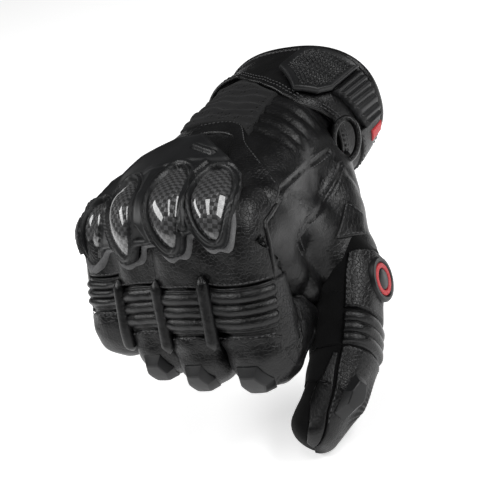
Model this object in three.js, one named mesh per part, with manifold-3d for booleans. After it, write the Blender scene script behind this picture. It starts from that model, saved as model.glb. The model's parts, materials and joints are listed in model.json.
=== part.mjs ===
// Right-hand motorcycle riding glove, closed round an empty grip, built as separate rigid solids.
// Millimetres. The origin is the centre of the cuff's mouth: +Y runs out of the mouth, the fingers
// point to -Y, the back of the hand faces +Z and the thumb is on the +X side.
import * as THREE from 'three';
import { mergeVertices } from 'three/addons/utils/BufferGeometryUtils.js';
import Module from 'manifold-3d';

const wasm = await Module();
wasm.setup();

// ---- driving dimensions, measured from the wrist crease ----
const CUFF_LENGTH = 42; // from the wrist crease to the binding
const BINDING = 2.4; // length of the rolled edge round the mouth
const WALL = 1.8; // leather with its lining
const GAP = 0.4; // air left between neighbours
const SWEEP_GAP = 0.5; // air left round a part that turns
const SIDES = 12; // facets round a finger
const HAND_SIDES = 24; // facets round the hand and cuff

// splay, bend and curl in degrees: sideways, at the knuckle and at the middle joint. draw turns the middle
// joint's axis so that the tips draw together. lengths run from the knuckle out; half is half the width.
const FINGERS = [
  {
    name: 'index', knuckle: [35, -92, -2], splay: 0,
    bend: 78, curl: 104, draw: 7, lengths: [48, 26, 13], half: 11.3,
  },
  {
    name: 'middle', knuckle: [11.5, -95, 2], splay: 0,
    bend: 78, curl: 104, draw: 3, lengths: [51, 29, 14], half: 11.3,
  },
  {
    name: 'ring', knuckle: [-12, -89, 0], splay: 0,
    bend: 78, curl: 104, draw: 0, lengths: [47, 27, 13], half: 11.3,
  },
  {
    name: 'little', knuckle: [-34.6, -79, -7], splay: -4,
    bend: 72, curl: 104, draw: -2, lengths: [36, 21, 11], half: 10.2,
  },
];
const TIP_BEND = 58; // fixed bend at the last finger joint
const DEPTH = 13; // half depth of a finger at its knuckle
const DEPTH_END = 12.4; // and at its middle joint
const TIP_DEPTH = 10; // half depth of the outer half, which turns inside the sleeve
const TIP_END = 8.6;
const KNUCKLE_TRAVEL = [-40, 4]; // degrees
const CURL_TRAVEL = [-70, 3];

const WRIST = { half: 31.5, top: 24, bottom: 24 };
const KNUCKLES = { half: 47.7, top: 15.6, bottom: 17.5 };
const MOUTH = { half: 38.5, depth: 27 };

const THUMB = {
  root: [25, -18, -14],
  knuckle: [50.2, -43.6, -47.7],
  along: [0.14, -0.79, -0.597],
  out: [0.96, 0.25, -0.106],
  lengths: [42, 23],
  curl: 14,
  half: 14,
  depth: 12.2,
  tipHalf: 11.2,
  tipDepth: 9.8,
  endHalf: 9.6,
  endDepth: 8.8,
};
const THUMB_KNUCKLE_TRAVEL = [-16, 10];
const THUMB_CURL_TRAVEL = [-14, 30];

const GUARD = { inner: 16.6, thick: 2.6, front: 18.5 }; // front is the arc below the knuckle line
const INSERT = { reach: 16.5, dome: 3.4 }; // half the length of an insert, and how far its middle stands up
const INSERTS = [
  { name: 'index', x: 28.6, half: 8, lean: 0.2 },
  { name: 'middle', x: 8.4, half: 8, lean: 0.2 },
  { name: 'ring', x: -19, half: 7.8, lean: 0.2 },
  { name: 'little', x: -37.5, half: 5.8, lean: -0.1 },
];
// end, corner and root are angles round the cuff; far and the near ones are the strap's edges along it.
const STRAP = {
  lift: 2.1, thick: 2.6, end: 80, corner: 27, root: -14, far: 37, nearEnd: 5, nearCorner: 9, nearRoot: 20,
};
const LOOP_RADIUS = 2.1; // the pull loop's cord

const rad = THREE.MathUtils.degToRad;
const lerp = THREE.MathUtils.lerp;
const v3 = (x, y, z) => new THREE.Vector3(x, y, z);

// ---- materials ----
const paint = (color, roughness) => new THREE.MeshStandardMaterial({ color, roughness, metalness: 0 });
const LEATHER = paint(0x161617, 0.45);
const SUEDE = paint(0x101011, 0.9);
const TPU = paint(0x242527, 0.5);
const CARBON = paint(0x0c0c0d, 0.15);
const FABRIC = paint(0x141415, 0.85);
const RED = paint(0xb3202a, 0.5);

// ---- solids from rings of points ----
function toSolid(geometry) {
  const bare = geometry.clone();
  bare.deleteAttribute('normal');
  bare.deleteAttribute('uv');
  const merged = mergeVertices(bare, 1e-4);
  const vertProperties = merged.attributes.position.array;
  const triVerts = new Uint32Array(merged.index.array);
  const made = new wasm.Manifold(new wasm.Mesh({ numProp: 3, vertProperties, triVerts }));
  if (made.volume() > 0) return made;
  return new wasm.Manifold(new wasm.Mesh({ numProp: 3, vertProperties, triVerts: triVerts.reverse() }));
}

// A closed solid through rings of equal length, with a fan over each end.
function loft(rings) {
  const n = rings[0].length;
  const middle = (ring) => ring.reduce((sum, p) => sum.add(p), v3(0, 0, 0)).divideScalar(n);
  const points = [...rings.flat(), middle(rings[0]), middle(rings.at(-1))];
  const last = (rings.length - 1) * n;
  const index = [];
  for (let i = 0; i < n; i++) {
    const j = (i + 1) % n;
    for (let r = 0; r < last; r += n) index.push(r + i, r + j, r + n + j, r + i, r + n + j, r + n + i);
    index.push(points.length - 2, j, i, points.length - 1, last + i, last + j);
  }
  const geometry = new THREE.BufferGeometry().setFromPoints(points);
  geometry.setIndex(index);
  return toSolid(geometry);
}

// A slab over a patch: surface(u, v, w) gives its points, u and v 0 to 1, w 0 inside and 1 outside.
function slab(surface, columns, rows) {
  const points = [];
  const index = [];
  const at = (c, r, w) => (w * (rows + 1) + r) * (columns + 1) + c;
  const quad = (a, b, c, d) => index.push(a, b, c, a, c, d);
  for (const w of [0, 1])
    for (let r = 0; r <= rows; r++)
      for (let c = 0; c <= columns; c++) points.push(surface(c / columns, r / rows, w));
  for (let r = 0; r < rows; r++)
    for (let c = 0; c < columns; c++) {
      quad(at(c, r, 1), at(c + 1, r, 1), at(c + 1, r + 1, 1), at(c, r + 1, 1));
      quad(at(c, r, 0), at(c, r + 1, 0), at(c + 1, r + 1, 0), at(c + 1, r, 0));
    }
  for (let c = 0; c < columns; c++) {
    quad(at(c, 0, 0), at(c + 1, 0, 0), at(c + 1, 0, 1), at(c, 0, 1));
    quad(at(c, rows, 1), at(c + 1, rows, 1), at(c + 1, rows, 0), at(c, rows, 0));
  }
  for (let r = 0; r < rows; r++) {
    quad(at(0, r, 1), at(0, r + 1, 1), at(0, r + 1, 0), at(0, r, 0));
    quad(at(columns, r, 0), at(columns, r + 1, 0), at(columns, r + 1, 1), at(columns, r, 1));
  }
  const geometry = new THREE.BufferGeometry().setFromPoints(points);
  geometry.setIndex(index);
  return toSolid(geometry);
}

// A shield over a round patch: surface(x, y, w) on the unit disc, raised to a dome outside.
function shield(surface, sides = 20) {
  const ring = (r, w) => Array.from({ length: sides }, (_, i) => {
    const a = (2 * Math.PI * i) / sides;
    return surface(r * Math.cos(a), r * Math.sin(a), w);
  });
  return loft([ring(0.45, 0), ring(1, 0), ring(1, 1), ring(0.72, 1), ring(0.36, 1)]);
}

// Everything beyond a plane, as a block.
function beyond(point, normal, size = 160) {
  const n = normal.clone().normalize();
  const side = (Math.abs(n.x) < 0.9 ? v3(1, 0, 0) : v3(0, 1, 0)).cross(n).normalize();
  const up = n.clone().cross(side);
  const ring = (d) => [[-1, -1], [1, -1], [1, 1], [-1, 1]].map(([a, b]) => point.clone()
    .addScaledVector(side, a * size).addScaledVector(up, b * size).addScaledVector(n, d));
  return loft([ring(0), ring(size)]);
}

const largest = (solid) => solid.decompose().reduce((a, b) => (b.volume() > a.volume() ? b : a));
const without = (solid, ...tools) => tools.reduce((left, tool) => left.subtract(tool), solid);
const together = (solids) => solids.reduce((a, b) => a.add(b));

const glove = new THREE.Group();
glove.position.y = -CUFF_LENGTH - BINDING;

function addNode(name, solid, material) {
  const mesh = largest(solid.simplify(0.1)).getMesh();
  const geometry = new THREE.BufferGeometry();
  const positions = new Float32Array(mesh.vertProperties);
  geometry.setAttribute('position', new THREE.BufferAttribute(positions, 3));
  geometry.setIndex(new THREE.BufferAttribute(new Uint32Array(mesh.triVerts), 1));
  const node = new THREE.Mesh(geometry, material);
  node.name = name;
  glove.add(node);
}

// ---- digits ----
// A digit's frame: along runs out of the hand, out faces its back, and it bends about axis.
const power = (c, e) => Math.sign(c) * Math.abs(c) ** e;
const turned = (vector, axis, degrees) => vector.clone().applyAxisAngle(axis, rad(degrees));
const turnedFrame = (frame, degrees, centre = frame.centre) => ({
  centre,
  axis: frame.axis,
  along: turned(frame.along, frame.axis, degrees),
  out: turned(frame.out, frame.axis, degrees),
});
const grown = (size, by) => ({ half: size.half + by, depth: size.depth + by });

// A point of a digit: lift along it, angle round it from its axis side towards its back.
const digitPoint = (frame, lift, angle, half, depth) => frame.centre.clone()
  .addScaledVector(frame.along, lift)
  .addScaledVector(frame.axis, half * power(Math.cos(rad(angle)), 0.85))
  .addScaledVector(frame.out, depth * power(Math.sin(rad(angle)), 0.85));
const section = (frame, lift, half, depth) => Array.from({ length: SIDES },
  (_, i) => digitPoint(frame, lift, (360 * i) / SIDES, half, depth));

// A digit from one joint to the next. It starts as a ball about its hinge, so it turns in a socket.
function capsule(frame, length, start, end, roundEnd = true) {
  const cap = (sign, at, size) => [34, 70].map((a) => {
    const [sine, cosine] = [Math.sin(rad(a)), Math.cos(rad(a))];
    return section(frame, at + sign * size.depth * sine, size.half * cosine ** 0.5, size.depth * cosine);
  });
  const rings = [...cap(-1, 0, start).reverse(), section(frame, 0, start.half, start.depth),
    section(frame, length, end.half, end.depth)];
  return loft(roundEnd ? [...rings, ...cap(1, length, end)] : rings);
}

// A finger's outer half, which bends once more at a fixed joint.
function hooked(frame, [first, last], bend, start, end) {
  const middle = { half: lerp(start.half, end.half, 0.5), depth: lerp(start.depth, end.depth, 0.5) };
  const joint = frame.centre.clone().addScaledVector(frame.along, first);
  const tip = capsule(turnedFrame(frame, bend, joint), last, middle, end);
  return capsule(frame, first, start, middle).add(tip);
}

// Everything that a turning solid passes through.
function sweep(make, frame, [from, to], step = 15) {
  const count = Math.ceil((to - from) / step);
  const angles = Array.from({ length: count + 1 }, (_, i) => lerp(from, to, i / count));
  return together(angles.map((angle) => make(turnedFrame(frame, angle))));
}

// What a digit's open end loses: the ball behind its hinge, but for a hood over the bent joint.
const openEnd = (frame, reach) => beyond(frame.centre, frame.along.clone().negate())
  .intersect(beyond(frame.centre, turned(frame.along, frame.axis, reach).negate()));

// A raised patch on a digit's back, over turn degrees to either side of it, with cross ridges if wanted.
const RIDGE = 1.2;
const digitPatch = (frame, size, [from, to], turn, lift, thick, rows = 2, ridges = 0) => slab((u, v, w) => {
  const at = size(lerp(from, to, v));
  const ridge = RIDGE * Math.abs(Math.sin(Math.PI * ridges * v));
  const r = lift + w * (thick + ridge);
  return digitPoint(frame, lerp(from, to, v), 90 + turn * (2 * u - 1), at.half + r, at.depth + r);
}, 6, rows);

// A faceted cap over a bent joint: turn degrees round the hinge and width to either side of the middle.
const jointCap = (frame, [from, to], width, inner, thick, grow = 0) => slab((u, v, w) => {
  const raised = w && u > 0.1 && u < 0.9 && v > 0.1 && v < 0.9;
  const a = lerp(from - grow * 4, to + grow * 4, v);
  const height = w ? (raised ? thick : thick * 0.5) + grow : -grow;
  return frame.centre.clone()
    .addScaledVector(frame.axis, (width + grow) * (1 - 2 * u))
    .addScaledVector(turned(frame.out, frame.axis, -a), inner + height);
}, 3, 4);

const digits = FINGERS.map((finger) => {
  const up = v3(0, 0, 1);
  const axis = turned(v3(1, 0, 0), up, finger.splay);
  const straight = { centre: v3(...finger.knuckle), axis, out: up, along: axis.clone().cross(up) };
  const frame = turnedFrame(straight, finger.bend);
  const tipAxis = turned(axis, frame.along, -finger.draw);
  const joint = {
    centre: frame.centre.clone().addScaledVector(frame.along, finger.lengths[0]),
    axis: tipAxis,
    along: frame.along,
    out: tipAxis.clone().cross(frame.along).negate(),
  };
  return {
    name: finger.name,
    frame,
    near: finger.lengths[0],
    tipLengths: finger.lengths.slice(1),
    bend: TIP_BEND,
    base: { half: finger.half, depth: DEPTH },
    end: { half: finger.half - 0.2, depth: DEPTH_END },
    ball: { half: finger.half - WALL - 1, depth: TIP_DEPTH },
    tip: { half: finger.half - WALL - 1.4, depth: TIP_END },
    tipFrame: turnedFrame(joint, finger.curl),
    travel: KNUCKLE_TRAVEL,
    tipTravel: CURL_TRAVEL,
  };
});
const thumbOut = v3(...THUMB.out).normalize();
const thumbAlong = v3(...THUMB.along).projectOnPlane(thumbOut).normalize();
const thumbAxis = thumbOut.clone().cross(thumbAlong);
const thumbFrame = { centre: v3(...THUMB.knuckle), along: thumbAlong, out: thumbOut, axis: thumbAxis };
const thumbJoint = thumbFrame.centre.clone().addScaledVector(thumbAlong, THUMB.lengths[0]);
const thumb = {
  name: 'thumb',
  frame: thumbFrame,
  near: THUMB.lengths[0],
  tipLengths: [THUMB.lengths[1] * 0.5, THUMB.lengths[1] * 0.5],
  bend: 6,
  base: { half: THUMB.half, depth: THUMB.depth },
  end: { half: THUMB.half - 0.6, depth: THUMB.depth },
  ball: { half: THUMB.tipHalf, depth: THUMB.tipDepth },
  tip: { half: THUMB.endHalf, depth: THUMB.endDepth },
  tipFrame: turnedFrame(thumbFrame, THUMB.curl, thumbJoint),
  travel: THUMB_KNUCKLE_TRAVEL,
  tipTravel: THUMB_CURL_TRAVEL,
};

// The round strip in the gap between a finger and the next, as [share of the length, radius] along it.
const STRIP = { beside: -9.7, above: 10.7, rings: [[0.2, 0.7], [0.24, 1.4], [0.76, 1.4], [0.8, 0.7]] };
const sideStrip = (d) => loft(STRIP.rings.map(([share, radius]) => Array.from({ length: 8 }, (_, i) => {
  const a = (Math.PI * i) / 4;
  return d.frame.centre.clone()
    .addScaledVector(d.frame.along, share * d.near)
    .addScaledVector(d.frame.axis, STRIP.beside + radius * Math.cos(a))
    .addScaledVector(d.frame.out, STRIP.above + radius * Math.sin(a));
})));

const mixed = (a, b, t) => ({ half: lerp(a.half, b.half, t), depth: lerp(a.depth, b.depth, t) });
const TIP_TAPER = 50; // length over which a tip would narrow from its ball's size to its end's
const CAP = { half: 6.6, thick: 2.6 };

for (const d of [...digits, thumb]) {
  const sizeAt = (s) => mixed(d.base, d.end, s / d.near);
  const tipSizeAt = (s) => mixed(d.ball, d.tip, s / TIP_TAPER);
  const tipShape = (by) => (frame) => (
    hooked(frame, d.tipLengths, d.bend, grown(d.ball, by), grown(d.tip, by)));
  const capTurn = d === thumb ? [-8, 34] : [-14, 58];
  const capShape = (grow) => (frame) => (
    jointCap(frame, capTurn, CAP.half, d.ball.depth + GAP, CAP.thick, grow));
  const capped = d.name !== 'little';

  const outer = capsule(d.frame, d.near, d.base, d.end, false);
  const inner = capsule(d.frame, d.near + 1, grown(d.base, -WALL), grown(d.end, -WALL), false);
  const passing = sweep(tipShape(SWEEP_GAP), d.tipFrame, d.tipTravel);
  const cutters = [inner, openEnd(d.frame, d.travel[0] - d.travel[1]), passing];
  if (capped) cutters.push(sweep(capShape(0.5), d.tipFrame, d.tipTravel));
  addNode(`${d.name}_sleeve`, without(outer, ...cutters), LEATHER);

  const tipHollow = hooked(d.tipFrame, d.tipLengths, d.bend, grown(d.ball, -WALL), grown(d.tip, -WALL));
  const tipOpening = openEnd(d.tipFrame, d.tipTravel[0]);
  addNode(`${d.name}_fingertip`, without(tipShape(0)(d.tipFrame), tipHollow, tipOpening), LEATHER);

  const flex = d === thumb ? [18, 33] : [d.near * 0.42, d.near * 0.76];
  addNode(`${d.name}_flex_panel`, digitPatch(d.frame, sizeAt, flex, 32, GAP, 0.8, 6, 3), LEATHER);
  if (capped) addNode(`${d.name}_cap`, capShape(0)(d.tipFrame), TPU);
  if (d === thumb) continue;
  const tipPatch = digitPatch(d.tipFrame, tipSizeAt, [9, d.tipLengths[0] - 1], 42, GAP + 0.2, 1, 1);
  addNode(`${d.name}_tip_panel`, tipPatch, LEATHER);
  if (capped) addNode(`${d.name}_fourchette`, sideStrip(d), LEATHER);
}

// ---- what the little finger and the thumb carry besides ----
const little = digits.at(-1);
addNode('little_side_pad', slab((u, v, w) => digitPoint(little.frame, lerp(11, 28, v), lerp(148, 200, u),
  little.base.half + GAP + w * 1.6, little.base.depth + GAP + w * 1.6), 4, 2), LEATHER);

// A ring or disc round the badge's axis: radius r0 to r1, height h0 to h1 over the thumb's back.
function badgeRing(r0, r1, h0, h1) {
  const profile = [[r0, h0], [r1, h0], [r1, h1], [r0, h1]];
  if (r0 > 0) profile.push([r0, h0]);
  const turnedProfile = new THREE.LatheGeometry(profile.map(([r, h]) => new THREE.Vector2(r, h)), 24);
  const across = thumbFrame.axis.clone().cross(thumbFrame.out);
  const basis = new THREE.Matrix4().makeBasis(thumbFrame.axis, thumbFrame.out, across);
  const centre = thumbFrame.centre.clone().addScaledVector(thumbFrame.along, 7)
    .addScaledVector(thumbFrame.out, THUMB.depth + GAP);
  return toSolid(turnedProfile.applyMatrix4(basis.setPosition(centre)));
}
addNode('thumb_badge', badgeRing(0, 8.8, 0, 2.4).subtract(badgeRing(3.9, 6.6, 1.4, 3)), TPU);
addNode('badge_ring', badgeRing(4.2, 6.3, 1.7, 2.4), RED);

// ---- hand and cuff ----
const knuckleY = (x) => -95.3 + 0.0068 * (Math.max(x, -40) - 16) ** 2;
const knuckleZ = (x) => 2 - 0.0052 * (THREE.MathUtils.clamp(x, -38, 40) - 6) ** 2;

// A point of the hand: s runs from 0 at the wrist to 1 at the knuckles, angle from the thumb side up.
function handPoint(s, angle, lift) {
  const square = lerp(0.85, 0.5, s);
  const c = power(Math.cos(rad(angle)), square);
  const n = power(Math.sin(rad(angle)), square);
  const x = 0.8 * s + (lerp(WRIST.half, KNUCKLES.half, Math.sin((s * Math.PI) / 2)) + lift) * c;
  const height = n > 0 ? lerp(WRIST.top, KNUCKLES.top, s) : lerp(WRIST.bottom, KNUCKLES.bottom, s);
  return v3(x, lerp(-0.4, knuckleY(x), s), (height + lift) * n + s * knuckleZ(x));
}
const aroundHand = Array.from({ length: HAND_SIDES }, (_, i) => (360 * i) / HAND_SIDES);
const handRing = (s, lift) => aroundHand.map((angle) => handPoint(s, angle, lift));
const handTube = (lift, extra) => loft([-extra, 0.25, 0.5, 0.75, 1 + extra].map((s) => handRing(s, lift)));
const handPatch = ([s0, s1], [a0, a1], lift, thick, columns, rows) => slab(
  (u, v, w) => handPoint(lerp(s0, s1, v), lerp(a0, a1, u), lift + w * thick), columns, rows);

function cuffPoint(y, angle, lift) {
  const t = y / CUFF_LENGTH;
  const half = lerp(WRIST.half, MOUTH.half, t) + lift;
  const depth = lerp(WRIST.top, MOUTH.depth, t) + lift;
  return v3(half * power(Math.cos(rad(angle)), 0.85), y, depth * power(Math.sin(rad(angle)), 0.85));
}
const cuffRing = (y, lift) => aroundHand.map((angle) => cuffPoint(y, angle, lift));
const cuffPatch = ([y0, y1], [a0, a1], lift, thick, columns, rows = 1) => slab(
  (u, v, w) => cuffPoint(lerp(y0, y1, v), lerp(a0, a1, u), lift + w * thick), columns, rows);

const thumbRoot = v3(...THUMB.root);
const rootAlong = thumbFrame.centre.clone().sub(thumbRoot);
const rootLength = rootAlong.length();
rootAlong.normalize();
const rootOut = thumbOut.clone().projectOnPlane(rootAlong).normalize();
const rootAxis = rootOut.clone().cross(rootAlong);
const rootFrame = { centre: thumbRoot, along: rootAlong, out: rootOut, axis: rootAxis };
const moundBase = { half: 20, depth: 16 };
const moundEnd = grown({ half: THUMB.half, depth: THUMB.depth }, 2.6);
const thumbMound = (by) => capsule(
  rootFrame, rootLength + (by < 0 ? 1 : 0), grown(moundBase, by), grown(moundEnd, by), false);
const passingDigits = together([...digits, thumb].map((d) => {
  const shape = (frame) => capsule(frame, d.near, grown(d.base, SWEEP_GAP), grown(d.end, SWEEP_GAP), false);
  return sweep(shape, d.frame, d.travel);
}));
const handHollow = [handTube(-WALL, 0.02), thumbMound(-WALL)];
const behindWrist = beyond(v3(0, -GAP, 0), v3(0, 1, 0));
const hand = without(handTube(0, 0).add(thumbMound(0)), ...handHollow, passingDigits, behindWrist);
addNode('back_panel', hand.subtract(beyond(v3(0, 0, -5.8), v3(0, 0, -1))), LEATHER);
addNode('palm_panel', hand.subtract(beyond(v3(0, 0, -6.2), v3(0, 0, 1))), SUEDE);
addNode('stretch_panel', handPatch([0.08, 0.4], [66, 118], GAP, 1, 4, 2), FABRIC);
addNode('side_band', handPatch([0.5, 0.68], [8, 52], GAP + 0.3, 1.2, 5, 2), LEATHER);
addNode('palm_patch', handPatch([0.3, 0.62], [-118, -78], GAP, 1.4, 4, 2), SUEDE);
const moundSizeAt = (s) => mixed(moundBase, moundEnd, s / rootLength);
addNode('thumb_back_patch', digitPatch(rootFrame, moundSizeAt, [14, 32], 34, GAP + 0.2, 1, 1), LEATHER);

// ---- knuckle guard: a shell carried over the knuckle line, with a window for each insert ----
// t runs along the shell from the knuckle line: negative towards the wrist, positive down the fingers.
function guardPoint(x, t, radius) {
  const a = Math.max(t, 0) / 18;
  const back = Math.max(-t, 0);
  const y = knuckleY(x) + back - radius * Math.sin(a);
  const z = knuckleZ(x) * (1 - back / 95) + radius * Math.cos(a) + back * 0.14;
  return v3(x, y, z);
}
const guardBack = (x) => lerp(15, 30, (x + 45) / 92);
const guard = slab((u, v, w) => {
  const x = lerp(-45.5, 47.5, u);
  const edge = Math.min(u, 1 - u) * 12;
  const t = lerp(-guardBack(x), GUARD.front, v) * (edge < 1 && v < 0.5 ? 0.7 + 0.3 * edge : 1);
  return guardPoint(x, t, GUARD.inner + (w && v > 0 && v < 1 && edge > 0 ? GUARD.thick : w * 1.4));
}, 20, 8);
// A window's cutter is grown by its clearance and runs straight through; the insert in it is domed.
function insertShape({ x, half, lean }, clearance) {
  const reach = INSERT.reach + clearance;
  return shield((across, along, w) => {
    const dome = clearance ? clearance * 6 : INSERT.dome * (1 - (across * across + along * along) ** 2);
    const narrowing = 1 - 0.22 * along;
    const x1 = x + lean * reach * along + (half + clearance) * across * narrowing;
    return guardPoint(x1, 0.5 + reach * along, GUARD.inner + (w ? 1.2 + dome : -clearance * 4));
  });
}
const windows = INSERTS.map((insert) => insertShape(insert, GAP));
addNode('knuckle_guard', without(guard, passingDigits, ...windows), TPU);
for (const insert of INSERTS) addNode(`${insert.name}_insert`, insertShape(insert, 0), CARBON);

// ---- cuff, its binding, the pull loop and the closure ----
const { far, lift, thick, end, corner, root } = STRAP;
const strapNear = (angle) => (angle < corner
  ? lerp(STRAP.nearRoot, STRAP.nearCorner, (angle - root) / (corner - root))
  : lerp(STRAP.nearCorner, STRAP.nearEnd, (angle - corner) / (end - corner)));
addNode('cuff_shell', without(loft([cuffRing(0, 0), cuffRing(CUFF_LENGTH - 0.4, 0)]),
  loft([cuffRing(-1, -WALL), cuffRing(CUFF_LENGTH + 1, -WALL)])), LEATHER);
addNode('cuff_binding', without(loft([cuffRing(CUFF_LENGTH, 1), cuffRing(CUFF_LENGTH + BINDING, 1)]),
  loft([cuffRing(CUFF_LENGTH - 1, -WALL), cuffRing(CUFF_LENGTH + BINDING + 1, -WALL)])), LEATHER);
addNode('closure_patch', cuffPatch([12, far - 3], [50, 74], GAP, 0.9, 2), FABRIC);
addNode('hook_patch', cuffPatch([13, far - 4], [51, 73], GAP + 1.2, 0.6, 2), FABRIC);
const strapSlab = ([a0, a1], thickness, columns, rows) => slab((u, v, w) => {
  const angle = lerp(a0, a1, u);
  return cuffPoint(lerp(strapNear(angle), far, v), angle, lift + 0.5 + w * thickness(u));
}, columns, rows);
addNode('wrist_plate', strapSlab([corner + 3, end], () => thick, 4, 2), TPU);
addNode('strap_ribs', strapSlab([corner, root + 3],
  (u) => thick - 0.8 + 0.8 * Math.abs(Math.sin(Math.PI * 5 * u)), 10, 1), TPU);
addNode('strap_base', cuffPatch([15, far - 2], [root, root - 34], GAP, 1.4, 3), LEATHER);
addNode('red_tab', cuffPatch([27, far - 2], [root - 4, root - 14], GAP + 1.8, 0.8, 1), RED);

const loopPoints = [[33, 8, 8], [40, 5, 7], [43, 3, 0], [41, 0, -8], [33, 0, -12]];
const loopPath = new THREE.CatmullRomCurve3(loopPoints.map((p) => v3(...p)));
const loopSection = new THREE.Shape(Array.from({ length: 8 }, (_, i) => {
  const a = (Math.PI * i) / 4;
  return new THREE.Vector2(LOOP_RADIUS * Math.cos(a), LOOP_RADIUS * Math.sin(a));
}));
const loopSweep = { steps: 14, extrudePath: loopPath, bevelEnabled: false };
const loop = toSolid(new THREE.ExtrudeGeometry(loopSection, loopSweep));
const insideCuff = loft([cuffRing(-2, GAP), cuffRing(CUFF_LENGTH, GAP)]);
addNode('wrist_loop', without(loop, insideCuff, handTube(GAP, 0)), LEATHER);

export default glove;
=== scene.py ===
"""The looks of a right-hand motorcycle riding glove, closed in a fist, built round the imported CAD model."""
import json
import math
from functools import partial

import bpy
import numpy as np
from mathutils import Matrix, Vector
from mathutils.bvhtree import BVHTree


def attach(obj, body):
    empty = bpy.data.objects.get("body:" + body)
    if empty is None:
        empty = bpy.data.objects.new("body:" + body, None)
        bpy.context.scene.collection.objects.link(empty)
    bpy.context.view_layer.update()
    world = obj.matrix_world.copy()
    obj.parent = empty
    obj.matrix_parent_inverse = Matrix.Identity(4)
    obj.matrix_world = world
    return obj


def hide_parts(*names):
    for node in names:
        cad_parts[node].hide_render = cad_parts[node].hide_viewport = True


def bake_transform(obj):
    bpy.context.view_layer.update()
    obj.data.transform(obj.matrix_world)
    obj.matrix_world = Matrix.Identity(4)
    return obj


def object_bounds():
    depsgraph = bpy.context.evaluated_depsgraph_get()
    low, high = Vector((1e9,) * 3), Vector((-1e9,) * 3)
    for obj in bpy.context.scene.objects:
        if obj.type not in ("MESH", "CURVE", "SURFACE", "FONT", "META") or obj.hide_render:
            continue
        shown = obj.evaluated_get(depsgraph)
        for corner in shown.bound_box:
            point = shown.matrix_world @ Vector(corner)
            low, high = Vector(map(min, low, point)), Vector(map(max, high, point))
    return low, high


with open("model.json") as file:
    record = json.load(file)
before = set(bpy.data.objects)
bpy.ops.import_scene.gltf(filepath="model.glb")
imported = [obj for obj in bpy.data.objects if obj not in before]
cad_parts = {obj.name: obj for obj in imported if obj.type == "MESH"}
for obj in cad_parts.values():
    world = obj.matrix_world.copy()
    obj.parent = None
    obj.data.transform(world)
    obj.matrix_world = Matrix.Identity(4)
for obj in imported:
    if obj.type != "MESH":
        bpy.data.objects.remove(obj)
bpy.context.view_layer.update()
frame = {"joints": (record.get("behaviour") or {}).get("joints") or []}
MM = 0.001
JOINTS = {j["name"]: j for j in frame["joints"]}
FINGERS = ("index", "middle", "ring", "little")
# Hand coordinates start at the wrist crease, and the row's at the mouth of the cuff, past its rolled binding.
CUFF = 42.0
BINDING = 2.4
CREASE = -(CUFF + BINDING)
WRIST = (31.5, 24.0)  # half the glove's width and half its depth at the wrist crease
MOUTH = (38.5, 27.0)  # and at the mouth of the cuff
LEATHER = 0.9  # how far a panel of leather usually stands proud


# ---------------------------------------------------------------- vectors and shapes
def unit(v):
    v = np.asarray(v, float)
    return v / np.maximum(np.linalg.norm(v, axis=-1, keepdims=True), 1e-12)


def turn(v, axis, degrees):
    """v turned about axis, both as arrays of vectors, by degrees, one for each or one for all."""
    v, k, a = np.asarray(v, float), unit(axis), np.radians(degrees)
    a = np.asarray(a)[..., None]
    along = (v * k).sum(-1, keepdims=True) * k
    return v * np.cos(a) + np.cross(k, v) * np.sin(a) + along * (1 - np.cos(a))


def lerp(a, b, t):
    return a + (b - a) * t


def smooth(a, b, x):
    t = np.clip((np.asarray(x, float) - a) / (b - a), 0, 1)
    return t * t * (3 - 2 * t)


def power(c, e):
    return np.sign(c) * np.abs(c) ** e


def bump(x, centre, width):
    return np.exp(-(((np.asarray(x, float) - centre) / width) ** 2))


def rounded_edge(distance, roll):
    """0 on an edge, rising as a quarter of a circle to 1 at a distance of roll from it."""
    return np.sqrt(np.clip(1 - (1 - np.clip(distance / roll, 0, 1)) ** 2, 0, 1))


def facing(normals, outward):
    """Normals turned round where they look against outward."""
    sign = np.sign((normals * outward).sum(-1, keepdims=True))
    return normals * np.where(sign == 0, 1, sign)


def segment_distance(p, a, b):
    """Distance of points to a segment, and how far along it the nearest place is, from 0 to 1."""
    a, b = np.asarray(a, float), np.asarray(b, float)
    t = np.clip(((p - a) @ (b - a)) / ((b - a) @ (b - a)), 0, 1)
    return np.linalg.norm(p - (a + t[..., None] * (b - a)), axis=-1), t


def line_distance(p, line):
    """Distance of points to a bent line."""
    return np.min([segment_distance(p, a, b)[0] for a, b in zip(line, line[1:])], axis=0)


def polygon_distance(corners, x, t):
    """Signed distance to a polygon, negative inside."""
    outline = [*corners, corners[0]]
    distance, inside = line_distance(np.stack([x, t], -1), outline), np.zeros(x.shape, bool)
    for (ax, at), (bx, bt) in zip(outline, outline[1:]):
        inside ^= ((at > t) != (bt > t)) & (x < ax + (t - at) / ((bt - at) or 1e-9) * (bx - ax))
    return np.where(inside, -distance, distance)


def waves(points, size, seed):
    """A cheap smooth noise of about -1 to 1 over points in millimetres, with features of about that size."""
    p = np.asarray(points, float) * (2 * math.pi / size)
    rng = np.random.default_rng(seed)
    total = np.zeros(p.shape[:-1])
    for _ in range(7):
        direction = rng.normal(size=3)
        direction /= np.linalg.norm(direction)
        total += np.sin(p @ direction * rng.uniform(0.6, 1.25) + rng.uniform(0, 6.28))
    return total / 3.2


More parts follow.
